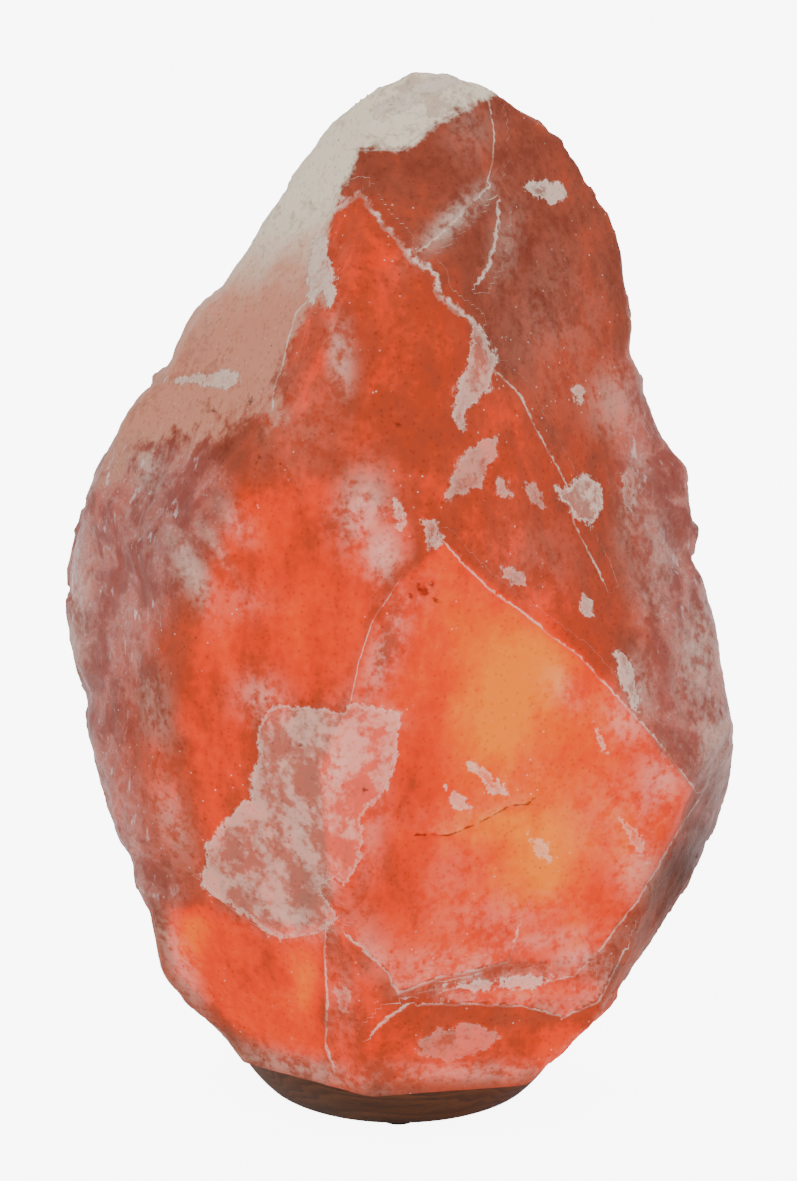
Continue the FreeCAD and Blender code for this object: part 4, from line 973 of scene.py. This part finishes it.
def makeSaltMaterial():
    material, w, shader = newMaterial(
        "rockSalt", IOR=1.54, Specular_IOR_Level=0.04, Coat_Roughness=0.16, Emission_Strength=1.0,
    )
    size, part, tint = saltPatterns, saltShares, saltColours
    signed, plus, times, most, less = w.signed, w.plus, w.times, w.most, w.less
    plain = w.place()
    big = w.noise(plain, size["big"], 5, 0.58, 0.6)
    middle = w.noise(plain, size["middle"], 5, 0.6, 0.4)
    fine = w.noise(plain, size["fine"], 4, 0.62)
    dust = w.noise(plain, size["dust"], 2, 0.6)
    leaning = w.place(scale=(1.0, 1.0, 0.35), turn=(0.0, 0.6, 0.0))
    streak = w.noise(leaning, size["streak"], 4, 0.6, 0.3)
    shake = w.add("ShaderNodeTexNoise", Vector=plain, Scale=size["shake"]).outputs["Color"]
    shaken = w.add("ShaderNodeVectorMath", {"operation": "ADD"})
    w.feed(shaken.inputs[0], plain)
    w.feed(shaken.inputs[1], w.scaled(shake, 0.006))
    shaken = shaken.outputs[0]

    uneven = plus(signed(big, 0.16), signed(middle, 0.15), signed(streak, 0.19), signed(fine, 0.10))
    through = w.ramp(plus(w.reading("glow"), uneven), tint["through"])

    # frost: the drawn patch's edge is frayed by three sizes of noise, and brighter than its middle
    frayed = plus(w.reading("frost"), signed(middle, 3.2), signed(fine, 2.6), signed(dust, 0.9))
    inside = w.span(frayed, -0.8, 1.6)
    rim = w.span(w.maths("ABSOLUTE", plus(frayed, -0.35)), 0.1, 0.8, 0.42, 0.0)
    holes = w.span(plus(big, signed(middle, 0.7), signed(fine, 0.35)), 0.36, 0.62, 0.28, 1.08)
    frost = times(plus(times(inside, holes), times(rim, 2.2)), w.reading("strength"))
    patchy = w.span(plus(middle, signed(fine, 0.5)), 0.30, 0.62, 0.15, 1.15)
    veil = times(w.reading("veil"), patchy, part["veil"])

    # veins: drawn at the front, and at the back the borders of large cells
    line = w.maths("ABSOLUTE", plus(w.reading("lineSide"), signed(fine, 2.4), signed(middle, 1.6)))
    broken = w.span(plus(middle, signed(fine, 0.3)), 0.36, 0.58, 0.15, 0.95)
    line = times(w.span(line, 0.25, 1.2, 1.0, 0.0), broken)
    strays = w.span(w.cells(shaken, size["strays"], "DISTANCE_TO_EDGE"), 0.006, 0.030, 0.9, 0.0)
    strays = times(strays, w.span(plus(big, signed(middle, 0.6)), 0.46, 0.60), w.reading("behind"))
    edge = w.span(plus(w.reading("edge"), signed(fine, 2.4)), 0.1, 1.5, 0.4, 0.0)
    flecks = w.span(w.cells(plain, size["flecks"]), 0.05, 0.13, 0.75, 0.0)
    flecks = times(flecks, w.span(big, 0.48, 0.56))
    white = w.clamped(most(frost, veil, line, strays, edge, flecks))

    cloud = w.span(plus(big, signed(middle, 0.35), signed(fine, 0.25)), 0.40, 0.66)
    colour = w.blend(times(cloud, part["cloud"]), tint["clear"], tint["cloudy"])

    # the crusted flanks: a crackled net of pale ridges over mauve
    wide = w.span(w.cells(shaken, size["wideNet"], "DISTANCE_TO_EDGE"), 0.0, 0.10, 1.0, 0.0)
    narrow = w.span(w.cells(shaken, size["narrowNet"], "DISTANCE_TO_EDGE"), 0.0, 0.16, 0.7, 0.0)
    torn = w.span(plus(middle, signed(big, 0.8), signed(fine, 0.5)), 0.42, 0.72)
    crust = times(w.reading("crust"), w.span(plus(middle, signed(big, 0.5)), 0.3, 0.5, 0.75, 1.0))
    mauve = w.blend(w.span(plus(big, signed(middle, 0.7)), 0.38, 0.6), tint["mauveDeep"], tint["mauve"])
    colour = w.blend(crust, colour, mauve)
    net = times(most(wide, narrow), torn, crust)
    colour = w.blend(times(net, part["net"]), colour, tint["ridge"])

    # the pale skin, creamier downwards, and the frost on top of all
    pale = w.span(plus(w.reading("pale"), signed(middle, 5.0), signed(fine, 2.0)), -1.2, 1.4)
    pale = times(pale, w.span(plus(middle, signed(fine, 0.5), signed(big, 0.6)), 0.25, 0.5, 0.62, 1.0))
    creamy = plus(w.reading("cream"), signed(big, 0.5), signed(middle, 0.35), signed(fine, 0.2))
    creamy = w.span(creamy, 0.1, 0.95)
    colour = w.blend(pale, colour, w.blend(creamy, tint["pale"], tint["cream"]))
    colour = w.blend(white, colour, tint["frost"])

    # painted highlights: sparkling grains and longer glints in the crust
    paintedSparkles = times(w.span(w.cells(plain, size["paintedSparkles"]), 0.0, 0.32, 1.0, 0.0), w.span(middle, 0.5, 0.62))
    paintedSparkles = w.clamped(times(paintedSparkles, most(crust, times(pale, 0.5))))
    colour = w.blend(times(paintedSparkles, part["sparkle"]), colour, tint["grain"])
    tilted = w.place(scale=(1.0, 1.0, 0.4), turn=(0.0, -0.5, 0.0))
    glints = w.span(w.noise(tilted, size["glints"], 3, 0.6), 0.60, 0.68)
    glints = times(glints, crust, w.span(big, 0.42, 0.56))
    colour = w.blend(times(glints, part["sparkle"]), colour, tint["glint"])

    # dark specks, dull places, and small pits darkened to a part of their colour, a painted shade in the
    # pits
    specks = w.span(plus(w.reading("dark"), signed(fine, 1.4)), 0.4, 1.2, 0.7, 0.0)
    dots = w.span(w.cells(plain, size["dots"]), 0.035, 0.06, 0.7, 0.0)
    specks = most(specks, times(dots, w.span(big, 0.5, 0.56)))
    dim = w.reading("dim")
    colour = w.blend(dim, w.blend(specks, colour, tint["speck"]), tint["speck"])
    pits = w.span(plus(w.cells(plain, size["pits"]), signed(dust, 0.2)), 0.10, 0.34)
    colour = w.blend(w.span(pits, 0.0, 1.0, part["pitShade"], 0.0, "LINEAR"), colour, w.scaled(colour, 0.45))
    w.feed(shader.inputs["Base Color"], colour)

    # light passes less through frost, crust and the pale skin
    through = w.blend(pale, through, w.blend(creamy, tint["skinLight"], tint["creamLight"]))
    passing = times(
        less(white, part["whiteStops"]), less(crust, part["crustStops"]),
        less(specks, part["speckStops"]), less(dim, part["dimStops"]),
        w.span(pits, 0.0, 1.0, 0.82, 1.0, "LINEAR"),
    )
    w.feed(shader.inputs["Emission Color"], w.scaled(through, passing))

    rough = plus(w.span(fine, 0.3, 0.7, 0.30, 0.50, "LINEAR"), times(white, 0.25))
    w.feed(shader.inputs["Roughness"], w.clamped(rough))
    # wet-looking glints where the surface is broken
    w.feed(shader.inputs["Coat Weight"], times(most(crust, times(white, 0.5)), part["coat"]))

    facets = times(w.cells(plain, size["facets"]), w.span(crust, 0.0, 1.0, 0.12, 0.9, "LINEAR"))
    relief = plus(
        times(middle, 0.8), times(fine, 0.5), times(dust, 0.12), facets, times(white, 0.25),
        times(pits, 0.15), times(net, 0.4),
    )
    w.feed(shader.inputs["Normal"], w.bump(relief, 0.9))
    return material


def makeBoulder():
    points, faces, looks = shapeBoulder()
    boulder = meshFrom("saltBoulder", points, faces, looks)
    boulder.data.materials.append(makeSaltMaterial())
    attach(boulder, "lamp")
    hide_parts("salt_crystal")
    print("salt boulder:", len(points), "points,", 2 * len(faces), "triangles")


# The turned wood.

wood = {
    "dark": (0.040, 0.013, 0.002),
    "light": (0.170, 0.060, 0.012),
    "pore": (0.012, 0.006, 0.003),
    "ringsPerMetre": 420.0,
    "fibresPerMetre": 1500,
    "poresPerMetre": 3200,
    "wander": 0.030,           # metres that the rings stray
}


def makeWoodMaterial():
    material, w, shader = newMaterial(
        "turnedWood", IOR=1.5, Specular_IOR_Level=0.3, Coat_Weight=0.15, Coat_Roughness=0.25,
    )
    # the grain runs along X; the rings are steps of the depth into the board
    board = w.place(scale=(0.10, 1.0, 1.0), shift=(0.0, 0.03, 0.0))
    stray = w.times(w.noise(board, 34, 3, 0.5, 0.4), wood["wander"])
    fibres = w.noise(w.place(scale=(0.045, 1.0, 1.0)), wood["fibresPerMetre"], 3, 0.65)
    pores = w.noise(w.place(scale=(0.03, 1.0, 1.0)), wood["poresPerMetre"], 2, 0.7)
    separate = w.add("ShaderNodeSeparateXYZ", Vector=board)
    depth = w.plus(separate.outputs[2], w.times(separate.outputs[1], 0.35), stray)
    rings = w.maths("FRACT", w.times(depth, wood["ringsPerMetre"]))
    rings = w.times(w.span(rings, 0.0, 0.75), w.span(rings, 0.8, 1.0, 1.0, 0.0))
    share = w.plus(w.times(rings, 0.45), w.span(fibres, 0.3, 0.7, -0.05, 0.5, "LINEAR"))
    dots = w.span(pores, 0.60, 0.70)
    colour = w.blend(w.clamped(share), wood["dark"], wood["light"])
    w.feed(shader.inputs["Base Color"], w.blend(w.times(dots, 0.6), colour, wood["pore"]))
    w.feed(shader.inputs["Roughness"], w.span(fibres, 0.3, 0.7, 0.34, 0.52, "LINEAR"))
    height = w.plus(w.times(fibres, 0.12), w.times(dots, -0.10))
    w.feed(shader.inputs["Normal"], w.bump(height, 0.7))
    return material


# Finishes of the small pieces: colour, grime, roughness, metal, grain size, wear, relief.

finishes = {
    "felt": ((0.035, 0.030, 0.028), (0.10, 0.09, 0.08), 0.95, 0.0, 900, 0.5, 0.35),
    "zincScrew": ((0.62, 0.62, 0.60), (0.30, 0.28, 0.25), 0.30, 1.0, 700, 0.35, 0.04),
    "greyNylon": ((0.28, 0.29, 0.30), (0.16, 0.16, 0.16), 0.45, 0.0, 500, 0.3, 0.05),
    "blackRubber": ((0.018, 0.018, 0.019), (0.07, 0.065, 0.06), 0.62, 0.0, 600, 0.4, 0.08),
    "whitePlastic": ((0.74, 0.73, 0.69), (0.50, 0.46, 0.38), 0.34, 0.0, 260, 0.3, 0.04),
    "steatite": ((0.66, 0.61, 0.52), (0.42, 0.36, 0.28), 0.60, 0.0, 500, 0.4, 0.07),
    "nickelSheet": ((0.66, 0.64, 0.59), (0.34, 0.30, 0.24), 0.26, 1.0, 420, 0.3, 0.03),
    "springBrass": ((0.72, 0.50, 0.20), (0.30, 0.17, 0.07), 0.30, 1.0, 500, 0.45, 0.03),
    "springSteel": ((0.48, 0.48, 0.49), (0.20, 0.18, 0.17), 0.28, 1.0, 420, 0.35, 0.03),
    "blackVitrite": ((0.012, 0.012, 0.020), (0.03, 0.03, 0.035), 0.10, 0.0, 300, 0.3, 0.02),
    "solder": ((0.60, 0.60, 0.61), (0.30, 0.30, 0.30), 0.36, 1.0, 900, 0.4, 0.10),
    "nickelWire": ((0.55, 0.53, 0.50), (0.30, 0.27, 0.24), 0.32, 1.0, 900, 0.3, 0.02),
}


def makeFinish(name, fineSurface, streaks):
    colour, grime, rough, metal, size, wear, relief = finishes[name]
    material, w, shader = newMaterial(name, Metallic=metal)
    surface = useGroup(
        w, fineSurface, Colour=(*colour, 1), Grime=(*grime, 1), Size=size, Wear=wear, Roughness=rough,
    )
    height = surface.outputs["Height"]
    if metal:
        drawn = useGroup(w, streaks, Stretch=(1.0, 1.0, 0.06), Size=2600.0)
        height = w.plus(height, w.times(drawn.outputs["Height"], 0.7))
    w.feed(shader.inputs["Base Color"], surface.outputs["Colour"])
    w.feed(shader.inputs["Roughness"], surface.outputs["Roughness"])
    w.feed(shader.inputs["Normal"], w.bump(w.times(height, relief)))
    return material


def makeBulbGlass():
    material, w, shader = newMaterial(
        "bulbGlass", IOR=1.47, Metallic=0.0, Transmission_Weight=1.0, Roughness=0.02,
        Base_Color=(0.97, 0.98, 0.97, 1),
    )
    ripple = w.noise(w.place(), 90, 2, 0.5)
    w.feed(shader.inputs["Normal"], w.bump(w.times(ripple, 0.06), 0.5))
    return material


def makeFilamentGlow():
    material, w, shader = newMaterial("hotTungsten", Emission_Strength=18.0, Metallic=1.0, Roughness=0.5)
    coil = w.add("ShaderNodeTexWave", {"bands_direction": "X"}, Vector=w.place(), Scale=900.0)
    turns = coil.outputs["Fac"]
    w.feed(shader.inputs["Base Color"], w.blend(turns, (0.10, 0.08, 0.06), (0.30, 0.26, 0.20)))
    w.feed(shader.inputs["Emission Color"], w.blend(turns, (0.9, 0.36, 0.08), (1.0, 0.62, 0.25)))
    return material


# Which nodes take each finish.
finishedNodes = {
    "turnedWood": "wood_base",
    "felt": "base_feet",
    "zincScrew": "base_screws screw_washers cover_screws terminal_screws",
    "greyNylon": "wall_plugs",
    "blackRubber": "cable_grommet",
    "whitePlastic": "holder_housing holder_cover",
    "steatite": "contact_carrier",
    "nickelSheet": "screw_shell bulb_cap",
    "springBrass": "centre_contact terminal_blocks contact_rivets",
    "springSteel": "clip_bracket clip_pins clip_left clip_right",
    "blackVitrite": "bulb_insulator",
    "solder": "bulb_contact",
    "bulbGlass": "bulb_glass bulb_stem",
    "nickelWire": "bulb_leads filament_supports",
    "hotTungsten": "filament",
}


def finishNodes():
    fineSurface, streaks = makeFineSurface(), makeStreaks()
    made = {name: makeFinish(name, fineSurface, streaks) for name in finishes}
    made["turnedWood"] = makeWoodMaterial()
    made["bulbGlass"] = makeBulbGlass()
    made["hotTungsten"] = makeFilamentGlow()
    nodes = {node: finish for finish, names in finishedNodes.items() for node in names.split()}
    for node, finish in nodes.items():
        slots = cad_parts[node].data.materials
        for index in range(max(1, len(slots))):
            if len(slots):
                slots[index] = made[finish]
            else:
                slots.append(made[finish])
    print("finished", len(nodes), "nodes with", len(made), "materials")


# The studio.

studio = {
    "floorSize": 8.0,
    "floorColour": (0.86, 0.86, 0.86),
    "floorShine": 7.5,        # added to what the camera sees of the floor, and to nothing else
    "wallShine": 8.4,         # strength of the wall where the camera sees it directly
    "worldColour": (0.93, 0.94, 0.96),
    "worldStrength": 0.72,
    # name, place, aims at, size, watts, colour
    "lights": [
        ("keyLight", (-0.9, -1.0, 1.5), (0, 0, 0.16), 1.4, 14.0, (1.0, 0.99, 0.97)),
        ("fillLight", (1.2, -0.7, 0.9), (0, 0, 0.15), 1.4, 6.0, (0.97, 0.98, 1.0)),
        ("backLight", (0.3, 1.2, 1.3), (0, 0, 0.18), 1.4, 9.0, (1.0, 1.0, 1.0)),
    ],
}


def makeStudio():
    half = studio["floorSize"] / 2
    corners = np.array([(-half, -half, 0), (half, -half, 0), (half, half, 0), (-half, half, 0)])
    floor = meshFrom("studioFloor", corners, np.array([[0, 1, 2, 3]]))
    material, w, shader = newMaterial("floorPaper", Roughness=0.9)
    shade = w.noise(w.place(), 3.0, 2, 0.5)
    duller = tuple(0.98 * part for part in studio["floorColour"])
    w.feed(shader.inputs["Base Color"], w.blend(shade, duller, studio["floorColour"]))
    seen = w.tree.nodes.new("ShaderNodeLightPath").outputs["Is Camera Ray"]
    w.feed(shader.inputs["Emission Strength"], w.times(seen, studio["floorShine"]))
    shader.inputs["Emission Color"].default_value = (1.0, 1.0, 1.0, 1.0)
    floor.data.materials.append(material)

    world = bpy.data.worlds.new("paleRoom")
    world.use_nodes = True
    w = Wiring(world.node_tree)
    background = w.tree.nodes["Background"]
    background.inputs["Color"].default_value = (*studio["worldColour"], 1)
    seen = w.tree.nodes.new("ShaderNodeLightPath").outputs["Is Camera Ray"]
    strength = w.span(seen, 0.0, 1.0, studio["worldStrength"], studio["wallShine"], "LINEAR")
    w.feed(background.inputs["Strength"], strength)
    bpy.context.scene.world = world

    for name, place, aim, size, watts, colour in studio["lights"]:
        lamp = bpy.data.lights.new(name, "AREA")
        lamp.shape = "DISK"
        lamp.size = size
        lamp.energy = watts
        lamp.color = colour
        thing = bpy.data.objects.new(name, lamp)
        thing.location = place
        thing.rotation_euler = (Vector(aim) - Vector(place)).to_track_quat("-Z", "Y").to_euler()
        bpy.context.scene.collection.objects.link(thing)
    print("studio with", len(studio["lights"]), "lights")


def makeCamera():
    eye, forward, _ = shotAxes()
    lens = bpy.data.cameras.new("photoCamera")
    lens.sensor_width = 36.0
    lens.lens = shot["focal"] * lens.sensor_width / shot["height"]  # the sensor spans the long side
    lens.clip_start, lens.clip_end = 0.01, 50.0
    camera = bpy.data.objects.new("photoCamera", lens)
    camera.location = Vector(eye)
    camera.rotation_euler = Vector(forward).to_track_quat("-Z", "Y").to_euler()
    bpy.context.scene.collection.objects.link(camera)
    bpy.context.scene.camera = camera
    print("camera set")


makeBoulder()
finishNodes()
makeStudio()
makeCamera()
